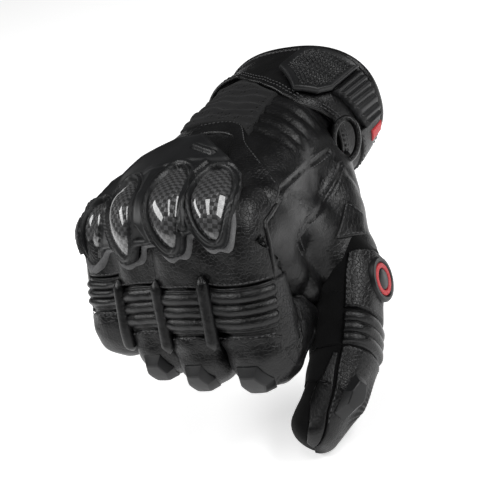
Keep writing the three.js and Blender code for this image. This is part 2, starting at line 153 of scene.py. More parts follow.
# ---------------------------------------------------------------- meshes
def make_mesh(name, points, faces, material, uv=None):
    """A mesh object from points in millimetres."""
    mesh = bpy.data.meshes.new(name)
    faces = faces.tolist() if isinstance(faces, np.ndarray) else faces
    mesh.from_pydata((np.asarray(points, float).reshape(-1, 3) * MM).tolist(), [], faces)
    if uv is not None:
        layer = mesh.uv_layers.new(name="UVMap")
        corner = np.zeros(len(mesh.loops), np.int32)
        mesh.loops.foreach_get("vertex_index", corner)
        layer.data.foreach_set("uv", np.asarray(uv, np.float32).reshape(-1, 2)[corner].ravel())
    mesh.polygons.foreach_set("use_smooth", [True] * len(mesh.polygons))
    mesh.materials.append(material)
    mesh.update()
    made = bpy.data.objects.new(name, mesh)
    bpy.context.scene.collection.objects.link(made)
    return made


def grid_faces(rows, columns, wrap=False, closed=False):
    """Four-sided faces over a grid of points. wrap joins the last column to the first, and closed
    does the same for the rows."""
    r, c = np.meshgrid(np.arange(rows if closed else rows - 1), np.arange(columns if wrap else columns - 1),
                       indexing="ij")
    here, below, beside = r * columns, (r + 1) % rows * columns, (c + 1) % columns
    return np.stack([here + c, here + beside, below + beside, below + c], -1).reshape(-1, 4)


def fan(start, sides, tip, turned=False):
    """Triangles from a ring of vertices, numbered from start, to the vertex at its tip."""
    ring = list(range(start, start + sides))
    return [[b, a, tip] if turned else [a, b, tip] for a, b in zip(ring, ring[1:] + ring[:1])]


def facing_out(points, faces, inside):
    """Faces turned so that they look away from the points inside, one for each vertex."""
    p = points.reshape(-1, 3)
    f = faces
    normal = np.cross(p[f[:, 1]] - p[f[:, 0]], p[f[:, 3]] - p[f[:, 0]])
    outward = (p[f].mean(1) - inside.reshape(-1, 3)[f].mean(1))
    return f if (normal * outward).sum() > 0 else f[:, ::-1]


def grid_normals(points, inside):
    du, dv = np.gradient(points, axis=(0, 1))
    return facing(unit(np.cross(du, dv)), points - inside)


def edge_distance(points, edges=(1, 1, 1, 1)):
    """Distance in millimetres of each grid point to the nearest edge of the grid, along the grid's lines.
    edges says which ones count: first and last row, first and last column."""
    nearest = np.full(points.shape[:2], 1e3)
    for axis in (0, 1):
        step = np.linalg.norm(np.diff(points, axis=axis), axis=-1)
        zero = np.zeros_like(np.take(step, [0], axis=axis))
        walked = np.concatenate([zero, np.cumsum(step, axis=axis)], axis=axis)
        if edges[2 * axis]:
            nearest = np.minimum(nearest, walked)
        if edges[2 * axis + 1]:
            nearest = np.minimum(nearest, np.take(walked, [-1], axis=axis) - walked)
    return nearest


def masked_solid(name, top, bottom, keep, inside, material, uv=None, sharp=None):
    """A closed solid between two grids of points, over the cells that keep marks."""
    rows, columns = top.shape[:2]
    used = np.zeros((rows, columns), bool)
    for i, j in ((0, 0), (1, 0), (1, 1), (0, 1)):
        used[i:rows - 1 + i, j:columns - 1 + j] |= keep
    index = -np.ones((rows, columns), int)
    index[used] = np.arange(used.sum())
    count = int(used.sum())
    r, c = np.argwhere(keep).T
    quad = np.stack([index[r, c], index[r, c + 1], index[r + 1, c + 1], index[r + 1, c]], -1)
    points = np.vstack([top[used], bottom[used]])
    outward = facing_out(top[used], quad, inside[used])
    turned = not np.array_equal(outward, quad)
    faces = [outward, outward[:, ::-1] + count]
    padded = np.pad(keep, 1)
    for (dr, dc), (a, b) in {(-1, 0): ((0, 0), (0, 1)), (1, 0): ((1, 1), (1, 0)), (0, -1): ((1, 0), (0, 0)),
                             (0, 1): ((0, 1), (1, 1))}.items():
        open_side = keep & ~padded[1 + dr:rows + dr, 1 + dc:columns + dc]
        r, c = np.argwhere(open_side).T
        p, q = index[r + a[0], c + a[1]], index[r + b[0], c + b[1]]
        wall = np.stack([q, p, p + count, q + count], -1)
        faces.append(wall[:, ::-1] if turned else wall)
    if uv is not None:
        uv = np.vstack([uv[used], uv[used]])
    made = make_mesh(name, points, np.vstack(faces), material, uv)
    if sharp:
        made.data.set_sharp_from_angle(angle=math.radians(sharp))
    return made


PANEL_SINK = 0.4  # how far a panel's rim is pushed into the leather under it


def panel(name, surface, u, v, material, height=1.0, roll=1.4, relief=None, edges=(1, 1, 1, 1)):
    """A closed panel of leather or plastic laid on a surface. surface(u, v) gives points and the points
    inside them, height is how far it stands proud, roll how broad its rounded edge is, and relief adds to the
    height. edges says which edges are rounded."""
    base, inside = surface(u, v)
    normal = grid_normals(base, inside)
    e = edge_distance(base, edges)
    rounded = rounded_edge(e, roll)
    lift = rounded * height - PANEL_SINK * (1 - rounded)
    if relief is not None:
        lift = lift + relief(u, v, e, base) * rounded
    top = base + normal * lift[..., None]
    bottom = base - normal * (PANEL_SINK + 0.5)
    keep = np.ones((u.shape[0] - 1, u.shape[1] - 1), bool)
    return masked_solid(name, top, bottom, keep, inside, material, np.stack([u, v], -1))


def grid(u0, u1, nu, v0, v1, nv):
    return np.meshgrid(np.linspace(u0, u1, nu), np.linspace(v0, v1, nv), indexing="ij")


def walked_along(points):
    """How far along a row of points each of them is."""
    return np.concatenate([[0], np.cumsum(np.linalg.norm(np.diff(points, axis=0), axis=1))])


def places_at(values, walked, at):
    """Values at distances along a row of points."""
    return np.stack([np.interp(at, walked, values[:, i]) for i in range(3)], 1)


def resample(points, count):
    """A row of points spread evenly along the same line."""
    walked = walked_along(points)
    return places_at(points, walked, np.linspace(0, walked[-1], count))


def line_on(surface, walks, across, step, lift=0.0):
    """Points and normals along a bent line on a surface, through places given as walks and as places across
    it. step is a small step across."""
    corners, at = np.linspace(0, 1, len(walks)), np.linspace(0, 1, 50)
    w, c = np.interp(at, corners, walks), np.interp(at, corners, across)
    p, inside = surface(w, c)
    n = unit(np.cross(surface(w + 0.2, c)[0] - p, surface(w, c + step)[0] - p))
    n = facing(n, p - inside)
    return p + n * lift, n


def curve_through(points, count=60):
    """A Catmull-Rom curve through points."""
    p = np.asarray(points, float)
    p = np.vstack([2 * p[0] - p[1], p, 2 * p[-1] - p[-2]])
    out = []
    spans = len(p) - 3
    for i in range(spans):
        t = np.linspace(0, 1, max(count // spans, 3), endpoint=i == spans - 1)[:, None]
        a, b, c, d = p[i:i + 4]
        out.append(0.5 * (2 * b + (c - a) * t + (2 * a - 5 * b + 4 * c - d) * t ** 2
                          + (3 * b - a - 3 * c + d) * t ** 3))
    return np.vstack(out)


def tube(name, path, material, radius, up, flat=1.0, sides=12, taper=2, closed=False):
    """A rolled strip or cord along a path. radius may vary along it; flat squeezes it along up."""
    path = np.asarray(path, float)
    n = len(path)
    tangent = unit(np.gradient(path, axis=0))
    if closed:
        tangent = unit(np.roll(path, -1, 0) - np.roll(path, 1, 0))
    side = unit(np.cross(tangent, up))
    up = np.cross(side, tangent)
    r = np.broadcast_to(np.asarray(radius, float), (n,)).copy()
    if not closed:
        for i in range(taper):
            r[[i, n - 1 - i]] *= math.sin(math.pi / 2 * (i + 0.25) / taper)
    a = np.linspace(0, 2 * math.pi, sides, endpoint=False)
    ring = (side[:, None] * np.cos(a)[None, :, None] + up[:, None] * (flat * np.sin(a))[None, :, None])
    points = path[:, None] + ring * r[:, None, None]
    inside = np.repeat(path[:, None], sides, 1)
    faces = facing_out(points, grid_faces(n, sides, wrap=True, closed=closed), inside).tolist()
    vertices = points.reshape(-1, 3)
    if not closed:
        vertices = np.vstack([vertices, path[:1], path[-1:]])
        flip = np.dot(np.cross(points[0, 1] - points[0, 0], path[0] - points[0, 0]), tangent[0]) > 0
        faces += fan(0, sides, n * sides, flip) + fan((n - 1) * sides, sides, n * sides + 1, not flip)
    return make_mesh(name, vertices, faces, material)


STITCHES = {}


STITCH_LENGTH = 1.6
STITCH_RADIUS = 0.26


def stitch(body, path, normal, spacing=2.3):
    """Adds a row of stitches along a path on a surface to that body's thread."""
    walked = walked_along(path)
    count = int(walked[-1] / spacing)
    if count < 1:
        return
    at = (np.arange(count) + 0.5) * walked[-1] / count
    centre, n = places_at(path, walked, at), unit(places_at(normal, walked, at))
    tangent = unit(places_at(path, walked, at + 0.3) - places_at(path, walked, at - 0.3))
    side = unit(np.cross(n, tangent))
    a = np.linspace(0, 2 * math.pi, 6, endpoint=False)[:, None]
    for c, t, s, m in zip(centre, tangent, side, n):
        rows = []
        for x, r in ((-0.5, 0.25), (-0.34, 0.85), (0, 1.0), (0.34, 0.85), (0.5, 0.25)):
            sag = -0.7 * STITCH_RADIUS * abs(x)
            around = (s * np.cos(a) + m * np.sin(a)) * (r * STITCH_RADIUS)
            rows.append(c + t * (x * STITCH_LENGTH) + m * sag + around)
        STITCHES.setdefault(body, []).append(np.array(rows))


def make_stitches(material):
    for body, items in STITCHES.items():
        points = np.array(items).reshape(-1, 3)
        one = grid_faces(5, 6, wrap=True)
        faces = (one[None] + (np.arange(len(items)) * 30)[:, None, None]).reshape(-1, 4)
        rows = points.reshape(len(items), 5, 6, 3)
        centre = np.repeat(rows.mean(2, keepdims=True), 6, 2).reshape(-1, 3)
        made = make_mesh("thread_" + body, points, facing_out(points, faces, centre), material)
        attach(made, body)


def stands_for(nodes):
    """Hides the CAD nodes that a piece replaces, if any."""
    if nodes:
        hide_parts(*nodes)


def fixed_on(made, body, slot, *nodes):
    """Puts a piece on one body."""
    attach(made, body)
    stands_for(nodes)


def over_joint(made, name, joint, slot, *nodes):
    """Bakes a piece's place into its mesh and hides the CAD nodes it replaces. The fold points of a digit's
    first or second joint are worked out but not used, so nothing bends it.
    """
    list(DIGITS[name].fold(joint))
    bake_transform(made)
    stands_for(nodes)


# ---------------------------------------------------------------- materials
class Nodes:
    """A small helper round one material's node tree."""

    def __init__(self, name, color, roughness, **inputs):
        self.material = bpy.data.materials.new(name)
        self.material.use_nodes = True
        self.tree = self.material.node_tree
        self.shader = self.tree.nodes["Principled BSDF"]
        self.set(self.shader, **{"Base Color": (*color, 1), "Roughness": roughness}, **inputs)
        self.where = self.add("ShaderNodeTexCoord").outputs

    def set(self, node, **values):
        for key, value in values.items():
            node.inputs[key].default_value = value
        return node

    def add(self, kind, links=None, options=None, **values):
        node = self.tree.nodes.new(kind)
        for key, value in (options or {}).items():
            setattr(node, key, value)
        self.set(node, **values)
        for key, source in (links or {}).items():
            self.tree.links.new(source, node.inputs[key])
        return node

    def noise(self, scale, detail=2.0, **values):
        return self.add("ShaderNodeTexNoise", {"Vector": self.where["Object"]}, Scale=scale, Detail=detail,
                        **values).outputs["Fac"]

    def voronoi(self, scale, feature="F1", randomness=1.0):
        return self.add("ShaderNodeTexVoronoi", {"Vector": self.where["Object"]}, {"feature": feature},
                        Scale=scale, Randomness=randomness).outputs["Distance"]

    def ramp(self, source, low, high, color_low, color_high):
        node = self.add("ShaderNodeValToRGB", {"Fac": source})
        for stop, position, color in zip(node.color_ramp.elements, (low, high), (color_low, color_high)):
            stop.position, stop.color = position, (*color, 1)
        return node.outputs["Color"]

    def math(self, operation, a, b=None):
        node = self.add("ShaderNodeMath", None, {"operation": operation})
        for socket, x in zip(node.inputs, (a, b)):
            if isinstance(x, (int, float)):
                socket.default_value = x
            elif x is not None:
                self.tree.links.new(x, socket)
        return node.outputs["Value"]

    def spread(self, source, low, high, out_low, out_high):
        node = self.add("ShaderNodeMapRange", {"Value": source})
        self.set(node, **{"From Min": low, "From Max": high, "To Min": out_low, "To Max": out_high})
        return node.outputs["Result"]

    def bumps(self, *layers):
        """Stacks bump layers, each (height, strength, distance in metres)."""
        below = None
        for height, strength, distance in layers:
            node = self.add("ShaderNodeBump", {"Height": height}, Strength=strength, Distance=distance)
            if below is not None:
                self.tree.links.new(below, node.inputs["Normal"])
            below = node.outputs["Normal"]
        self.tree.links.new(below, self.shader.inputs["Normal"])

    def link(self, source, socket):
        self.tree.links.new(source, self.shader.inputs[socket])


def leather(name, color, roughness, grain=1.0, scale=1.0, crease=0.5):
    """Cow leather: pebbles between fine creases, with long soft wrinkles and slightly worn, uneven gloss."""
    m = Nodes(name, color, roughness, **{"Specular IOR Level": 0.36})
    pebble = m.voronoi(1050 * scale)
    crack = m.voronoi(620 * scale, "DISTANCE_TO_EDGE")
    fine = m.noise(2600, 3.0)
    broad = m.noise(95, 3.0)
    wrinkle = m.noise(240, 4.0, Distortion=1.4)
    edge = m.spread(crack, 0.0, 0.12, 0.0, 1.0)
    m.bumps((wrinkle, 0.22 * crease, 0.0011), (edge, 0.22 * grain, 0.00020), (pebble, -0.20 * grain, 0.00022),
            (fine, 0.10, 0.00008))
    m.link(m.spread(broad, 0.3, 0.7, roughness - 0.05, roughness + 0.09), "Roughness")
    lighter = tuple(c * 1.9 for c in color)
    m.link(m.ramp(broad, 0.35, 0.75, color, lighter), "Base Color")
    return m.material


def moulded(name, color, roughness):
    """Satin moulded TPU: a fine spark-eroded texture and rubbed, slightly lighter high spots."""
    m = Nodes(name, color, roughness, **{"Specular IOR Level": 0.36})
    spark = m.noise(3200, 2.0)
    broad = m.noise(70, 3.0)
    m.bumps((spark, 0.16, 0.00010))
    m.link(m.spread(broad, 0.3, 0.7, roughness - 0.05, roughness + 0.07), "Roughness")
    m.link(m.ramp(broad, 0.3, 0.75, color, tuple(c * 1.45 for c in color)), "Base Color")
    return m.material


def carbon(name):
    """A twill weave under clear gloss. The weave runs on the insert's own coordinates, in millimetres."""
    m = Nodes(name, (0.01, 0.01, 0.01), 0.4, **{"Coat Weight": 1.0, "Coat Roughness": 0.03, "Coat IOR": 1.75,
                                                "Specular IOR Level": 0.4})
    split = m.add("ShaderNodeSeparateXYZ", {"Vector": m.where["UV"]}).outputs
    tow = 1.7
    a, b = (m.math("MULTIPLY", split[axis], 1.0 / tow) for axis in "XY")
    def cell(x):
        return m.math("FLOOR", m.math("ADD", x, 100.0))
    def hump(x):
        return m.math("ABSOLUTE", m.math("SINE", m.math("MULTIPLY", x, math.pi)))
    twill = m.math("MODULO", m.math("ADD", cell(a), cell(b)), 2.0)
    over = m.math("MULTIPLY", twill, hump(a))
    under = m.math("MULTIPLY", m.math("SUBTRACT", 1.0, twill), hump(b))
    m.bumps((m.math("ADD", over, under), 0.55, 0.0004))
    speck = m.spread(m.noise(900, 2.0), 0.35, 0.65, 0.55, 1.0)
    shade = m.math("MULTIPLY", m.math("ADD", m.math("MULTIPLY", twill, 0.8), 0.2), speck)
    m.link(m.ramp(shade, 0.05, 0.85, (0.0008, 0.0008, 0.0009), (0.085, 0.085, 0.087)), "Base Color")
    m.link(m.spread(twill, 0, 1, 0.6, 0.34), "Roughness")
    return m.material


def fabric(name, color, roughness, specular, sheen):
    """What the suede, the stretch fabric and the woven materials start from."""
    return Nodes(name, color, roughness, **{"Specular IOR Level": specular, "Sheen Weight": sheen,
                                            "Sheen Roughness": 0.5})


def suede(name, color):
    m = fabric(name, color, 0.93, 0.12, 0.06)
    nap = m.noise(1900, 5.0)
    patch = m.noise(160, 4.0)
    m.bumps((nap, 0.5, 0.00025), (patch, 0.2, 0.0005))
    mixed = m.math("ADD", m.math("MULTIPLY", nap, 0.5), m.math("MULTIPLY", patch, 0.5))
    m.link(m.ramp(mixed, 0.3, 0.75, color, tuple(c * 2.6 for c in color)), "Base Color")
    return m.material


def pierced(name, color):
    """Gathered stretch fabric with rows of small holes."""
    m = fabric(name, color, 0.82, 0.22, 0.05)
    hole = m.voronoi(430, randomness=0.25)
    hole = m.spread(hole, 0.16, 0.30, 0.0, 1.0)
    knit = m.noise(1500, 3.0)
    m.bumps((hole, 0.8, 0.0006), (knit, 0.3, 0.0002))
    m.link(m.ramp(hole, 0.2, 0.9, (0.002, 0.002, 0.002), tuple(c * 1.6 for c in color)), "Base Color")
    return m.material


def woven(name, color, roughness=0.9):
    m = fabric(name, color, roughness, 0.2, 0.05)
    loops = m.voronoi(1400)
    fuzz = m.noise(2200, 4.0)
    m.bumps((loops, -0.5, 0.0004), (fuzz, 0.4, 0.0003))
    m.link(m.ramp(fuzz, 0.3, 0.7, color, tuple(c * 2.2 for c in color)), "Base Color")
    return m.material


def rubber(name, color):
    m = Nodes(name, color, 0.5, **{"Specular IOR Level": 0.45})
    fine = m.noise(2600, 3.0)
    broad = m.noise(160, 3.0)
    m.bumps((fine, 0.14, 0.0001))
    m.link(m.ramp(broad, 0.3, 0.7, tuple(c * 0.8 for c in color), color), "Base Color")
    m.link(m.spread(broad, 0.3, 0.7, 0.42, 0.58), "Roughness")
    return m.material


SMOOTH = leather("smooth_leather", (0.0030, 0.0030, 0.0032), 0.33, grain=1.2, crease=0.9)
GRAIN = leather("grained_leather", (0.0028, 0.0028, 0.0030), 0.35, grain=2.0, scale=0.95, crease=0.7)
# Suede: its dark colour is partly the glove's black suede and partly painted shade. It is darker than the
# leather to stand in for the shadow on the thumb's inner side and the palm.
SUEDE_WITH_PAINTED_SHADE = suede("suede", (0.0016, 0.0016, 0.0017))
EDGE_SUEDE = suede("edge_suede", (0.080, 0.080, 0.081))
TPU = moulded("moulded_tpu", (0.0075, 0.0077, 0.0082), 0.40)
CARBON = carbon("carbon_insert")
MESH = pierced("stretch_fabric", (0.0050, 0.0050, 0.0053))
LOOPS = woven("hook_and_loop", (0.006, 0.006, 0.0065))
LINING = woven("lining", (0.010, 0.010, 0.011), 0.85)
THREAD = woven("thread", (0.042, 0.042, 0.043), 0.6)
RED = rubber("red_rubber", (0.50, 0.020, 0.026))


# ---------------------------------------------------------------- digits
class Digit:
    """The skin of a finger or the thumb, as a surface over (walk, angle): walk is millimetres along the back
    from its first joint, through an arc at each bend, and angle is degrees round it, 90 at its back."""

    def __init__(self, joints, ways, axes, lengths, widths, backs, bellies, lead, far_widths=None):
        self.joints, self.ways, self.axes = [np.array(x, float) for x in (joints, unit(ways), unit(axes))]
        self.lengths, self.lead = lengths, lead
        self.sizes = [np.array(x, float) for x in (widths, backs, bellies, far_widths or widths)]
        self.bends = [math.degrees(math.acos(np.clip(a @ b, -1, 1)))
                      for a, b in zip(self.ways, self.ways[1:])]
        self.arcs = [max(math.radians(b) * back * 0.9, 0.5) for b, back in zip(self.bends, backs)]
        self.starts = []
        at = 0.0
        for arc, length in zip(self.arcs, lengths):
            self.starts.append(at)
            at += arc + length
        self.end = at
        self.cap = float(min(self.sizes[1][-1], self.sizes[2][-1]) * 1.25)

    def on(self, segment, lift):
        """The walk at a distance past joint number segment, counted from 1, past its arc."""
        return self.starts[segment - 1] + self.arcs[segment - 1] + lift

    def bend(self, joint, share):
        """The walk at a share of the arc over a joint, counted from 1."""
        return self.starts[joint - 1] + self.arcs[joint - 1] * share

    def frame_at(self, walk):
        """Centre, way, axis and segment number for each walk."""
        centre = self.joints[0] + self.ways[0] * np.minimum(walk, 0)[..., None]
        way = np.broadcast_to(self.ways[0], centre.shape).copy()
        axis = np.broadcast_to(self.axes[0], centre.shape).copy()
        zone = np.zeros(walk.shape)
        for i, (start, arc) in enumerate(zip(self.starts, self.arcs)):
            share = np.clip((walk - start) / arc, 0, 1)
            over = walk > start
            between = unit(lerp(self.axes[i], self.axes[i + 1], share[..., None]))
            axis = np.where(over[..., None], between, axis)
            turned = unit(turn(self.ways[i], self.axes[i + 1], share * self.bends[i]))
            past = np.maximum(walk - start - arc, 0)[..., None]
            way = np.where(over[..., None], turned, way)
            centre = np.where(over[..., None], self.joints[i] + self.ways[i + 1] * past, centre)
            zone = np.where(over, i + share, zone)
        return centre, way, axis, zone

    def size_at(self, walk):
        knots = [-self.lead, *(start + arc / 2 for start, arc in zip(self.starts, self.arcs)), self.end]
        return [np.interp(walk, knots, [s[0], *s]) for s in self.sizes]

    def __call__(self, walk, angle):
        walk, angle = np.broadcast_arrays(np.asarray(walk, float), np.asarray(angle, float))
        past = np.clip((walk - self.end) / self.cap, 0, 1) * math.pi / 2
        w = np.minimum(walk, self.end)
        centre, way, axis, zone = self.frame_at(w)
        out = np.cross(way, axis)
        half, back, belly, far = self.size_at(w)
        shrink = np.cos(past) ** 0.8
        centre = centre + way * (np.sin(past) * self.sizes[1][-1] * 0.95)[..., None]
        c, s = np.cos(np.radians(angle)), np.sin(np.radians(angle))
        x = power(c, 0.84) * np.where(c > 0, half, far) * shrink
        up = s > 0
        y = power(s, 0.86) * np.where(up, back, belly) * shrink
        points = centre + axis * x[..., None] + out * y[..., None]
        for i, (a, b) in enumerate(zip(self.ways, self.ways[1:])):
            if self.bends[i] < 25:
                continue
            hinge = self.axes[i + 1]
            outward = np.cross(np.where((zone < i + 0.5)[..., None], a, b), hinge)
            bottom = self.joints[i] + outward * y[..., None] + hinge * x[..., None]
            points = np.where(((~up) & (zone > i) & (zone < i + 1))[..., None], bottom, points)
            normal = unit(a + b)
            side = ((points - self.joints[i]) * normal).sum(-1)
            gap = 0.5
            before, after = zone < i + 0.5, zone >= i + 0.5
            push = np.where(before & (side > -gap) & ~up, -(side + gap) / (a @ normal), 0)
            points = points + a * push[..., None]
            push = np.where(after & (side < gap) & ~up & (zone < i + 1.6), (gap - side) / (b @ normal), 0)
            points = points + b * push[..., None]
        return points, centre

    def fold(self, joint):
        """Two points, in metres, on either side of a joint's crease."""
        c, reach = self.joints[joint - 1], 10.5 * unit(self.ways[joint - 1] + self.ways[joint])
        return tuple((c - reach) * MM), tuple((c + reach) * MM)

    def line(self, walks, angles, lift=0.0):
        return line_on(self, walks, angles, 1.0, lift)


def joint_place(name):
    return np.array(JOINTS[name]["pos_m"]) / MM, unit(JOINTS[name]["axis"])


TIP_BEND = 58.0
PIP_BEND = 104.0
THUMB_CURL = 14.0


# Half widths of each finger on the thumb's side and on the other, at its three joints and its tip.
SIDES = {"index": ([12.6, 17.6, 14.8, 10.6], [11.8, 11.6, 10.6, 9.2]),
         "middle": ([11.8, 11.8, 10.8, 9.4], [11.8, 11.6, 10.8, 9.4]),
         "ring": ([11.8, 11.6, 10.6, 9.2], [11.8, 11.6, 10.6, 9.2]),
         "little": ([11.4, 11.2, 9.8, 8.4], [13.8, 15.0, 11.4, 9.0])}
BACKS = {"index": [14.6, 18.2, 14.2, 10.6], "little": [14.6, 15.4, 12.6, 10.2]}


def make_finger(name, mid, far):
    knuckle, axis = joint_place(name + "_knuckle")
    pip, axis2 = joint_place(name + "_middle_joint")
    straight = np.cross(axis, [0, 0, 1.0])
    near = unit(pip - knuckle)
    middle = turn(near, axis2, PIP_BEND)
    last = turn(middle, axis2, TIP_BEND)
    dip = pip + middle * mid
    radial, ulnar = SIDES[name]
    return Digit([knuckle, pip, dip], [straight, near, middle, last], [axis, axis, axis2, axis2],
                 [np.linalg.norm(pip - knuckle), mid, far], radial,
                 BACKS.get(name, [14.6, 15.6, 12.6, 10.2]), [13.0, 12.6, 10.6, 9.0], 16.0, ulnar)


def make_thumb():
    knuckle, axis = joint_place("thumb_knuckle")
    tip_joint, axis2 = joint_place("thumb_tip_joint")
    near = unit(tip_joint - knuckle)
    root = np.array([27, CREASE - 18, -16])
    lead = unit(knuckle - root)
    lead = unit(lead - axis * (lead @ axis))
    last = turn(near, axis2, THUMB_CURL)
    end = tip_joint + last * 17
    return Digit([knuckle, tip_joint, end], [lead, near, last, turn(last, axis2, 16)],
                 [axis, axis, axis2, axis2], [np.linalg.norm(tip_joint - knuckle), 17, 16.5],
                 [16.5, 14.8, 13.4, 11.0], [13.6, 11.8, 10.8, 8.6], [16.5, 16.6, 14.2, 11.0], 34.0)


DIGITS = {"index": make_finger("index", 26, 13), "middle": make_finger("middle", 29, 14),
          "ring": make_finger("ring", 27, 13), "little": make_finger("little", 21, 11), "thumb": make_thumb()}
THUMB = DIGITS["thumb"]
SKIN_SIDES = 72


def skin(name, digit, w0, w1, rows, material, relief=None, close=False):
    """The bare skin of a digit between two walks. close rounds it off past its end."""
    w = np.linspace(w0, w1, rows)
    if close:
        w = np.append(w, digit.end + digit.cap * np.sin(np.linspace(0.05, 1, 12) * math.pi / 2) * 0.995)
    walk, angle = np.meshgrid(w, np.linspace(0, 360, SKIN_SIDES, endpoint=False), indexing="ij")
    base, inside = digit(walk, angle)
    n = grid_normals(*(np.concatenate([p[:, -1:], p, p[:, :1]], 1) for p in (base, inside)))[:, 1:-1]
    lift = 0.25 * waves(base, 9.0, 3)
    if relief is not None:
        lift = lift + relief(walk, angle, base)
    points = base + n * lift[..., None]
    faces = facing_out(points, grid_faces(len(w), SKIN_SIDES, wrap=True), inside).tolist()
    vertices = points.reshape(-1, 3)
    ends = [(len(w) - 1, inside[-2, 0]), (0, inside[1, 0])]
    for row, within in ends:
        middle = points[row].mean(0)
        out = np.cross(points[row, 1] - points[row, 0], middle - points[row, 0]) @ (middle - within) > 0
        faces += fan(row * SKIN_SIDES, SKIN_SIDES, len(vertices), not out)
        vertices = np.vstack([vertices, middle[None]])
    uv = np.stack([walk, angle], -1).reshape(-1, 2)
    uv = np.vstack([uv, np.repeat(uv[-1:], len(vertices) - len(uv), 0)])
    return make_mesh(name, vertices, faces, material, uv)


def wrinkled(digit):
    """Short cross wrinkles where a finger's leather bunches, strongest near its bends."""
    def relief(walk, angle, base):
        near = sum(bump(walk, digit.bend(j, 0.5), digit.arcs[j - 1] * 0.75) for j in (1, 2, 3))
        ripple = np.sin(walk * 1.5 + 1.2 * np.sin(np.radians(angle) * 3)) * waves(base, 14.0, 8)
        return near * ripple * 0.28
    return relief


# ---------------------------------------------------------------- fingers
FINGER_START = -12.0  # the walk, behind its knuckle, at which a finger's leather starts
RIB_COUNT = 3
FINGER_RIB, THUMB_RIB = 1.9, 1.7  # how far the ribs stand up
STRIP_RADIUS, STRIP_LIFT = 3.0, 2.0  # the rolled strips between the fingers
RIBS = {"index": (20, 39), "middle": (22, 41), "ring": (20, 38.5), "little": (15, 29)}
# Where the outer fingers' backs end at their sides: pairs of walk and angle.
SIDE_ANGLE = {"index": [(-12, 16), (-4, 11), (10, 8), (23, 9), (32, 13), (42, 16), (51, 21), (59, 26),
                        (80, 27)],
              "little": [(0, 22), (60, 22)]}


def flat_edge(name, walk, side):
    """The edge of a finger's back if it were as flat as its neighbour's, and the way out from it: side is 1
    towards the thumb and -1 away."""
    d = DIGITS[name]
    centre, way, axis, _ = d.frame_at(walk)
    half, back, _, far = d.size_at(walk)
    out = np.cross(way, axis)
    width = (side * (half if side > 0 else far))[..., None]
    return centre + axis * width + out * (back - 1.0)[..., None], out


def gap_line(k, walk):
    """The line between fingers k and k + 1 along their backs, and which way is out from it."""
    near, out_near = flat_edge(FINGERS[k], walk, -1)
    far, out_far = flat_edge(FINGERS[k + 1], walk, 1)
    return (near + far) / 2, unit(out_near + out_far)


def front(name, walk, across):
    """A finger's back as the leather laid over it: across goes from -1, away from the thumb, to 1. It bridges
    the gap to its neighbours as far as the ribs, and is rounder past them."""
    walk, across = np.broadcast_arrays(np.asarray(walk, float), np.asarray(across, float))
    d, k = DIGITS[name], FINGERS.index(name)
    centre, way, axis, _ = d.frame_at(walk)
    out = np.cross(way, axis)
    half, back, _, far = d.size_at(walk)
    points = np.zeros(walk.shape + (3,))
    rounding = smooth(d.on(1, RIBS[name][1] - 4), d.on(1, RIBS[name][1] + 13), walk)
    for side in (1, -1):
        here = across * side >= 0
        c = np.abs(across)
        has_neighbour = (k > 0) if side > 0 else (k < 3)
        edge_angle = 24 if has_neighbour else np.interp(walk, *zip(*SIDE_ANGLE[name]))
        angle = 90 - side * (90 - edge_angle) * c
        curved, _ = d(walk, angle)
        if has_neighbour:
            line, _ = gap_line(k - 1 if side > 0 else k, walk)
            width = (half if side > 0 else far)[..., None]
            plain = centre + axis * side * width * c[..., None] + out * (back - 1.0 * c ** 2)[..., None]
            own = centre + axis * side * width + out * (back - 1.0)[..., None]
            bridged = plain + (line - own) * (c ** 2)[..., None]
            curved = lerp(bridged, curved, rounding[..., None])
        points = np.where(here[..., None], curved, points)
    return points, centre


def rib_relief(w0, w1, height):
    """Rolled cross ribs between two walks."""
    def relief(walk, across, e, base):
        t = np.clip((walk - w0) / (w1 - w0), 0, 1) * RIB_COUNT
        roll = np.abs(np.sin(math.pi * t)) ** 0.55
        return height * roll + 0.10 * waves(base, 6.0, 5)
    return relief


def pebbled(size, seed):
    return lambda u, v, e, base: 0.25 * waves(base, size, seed)


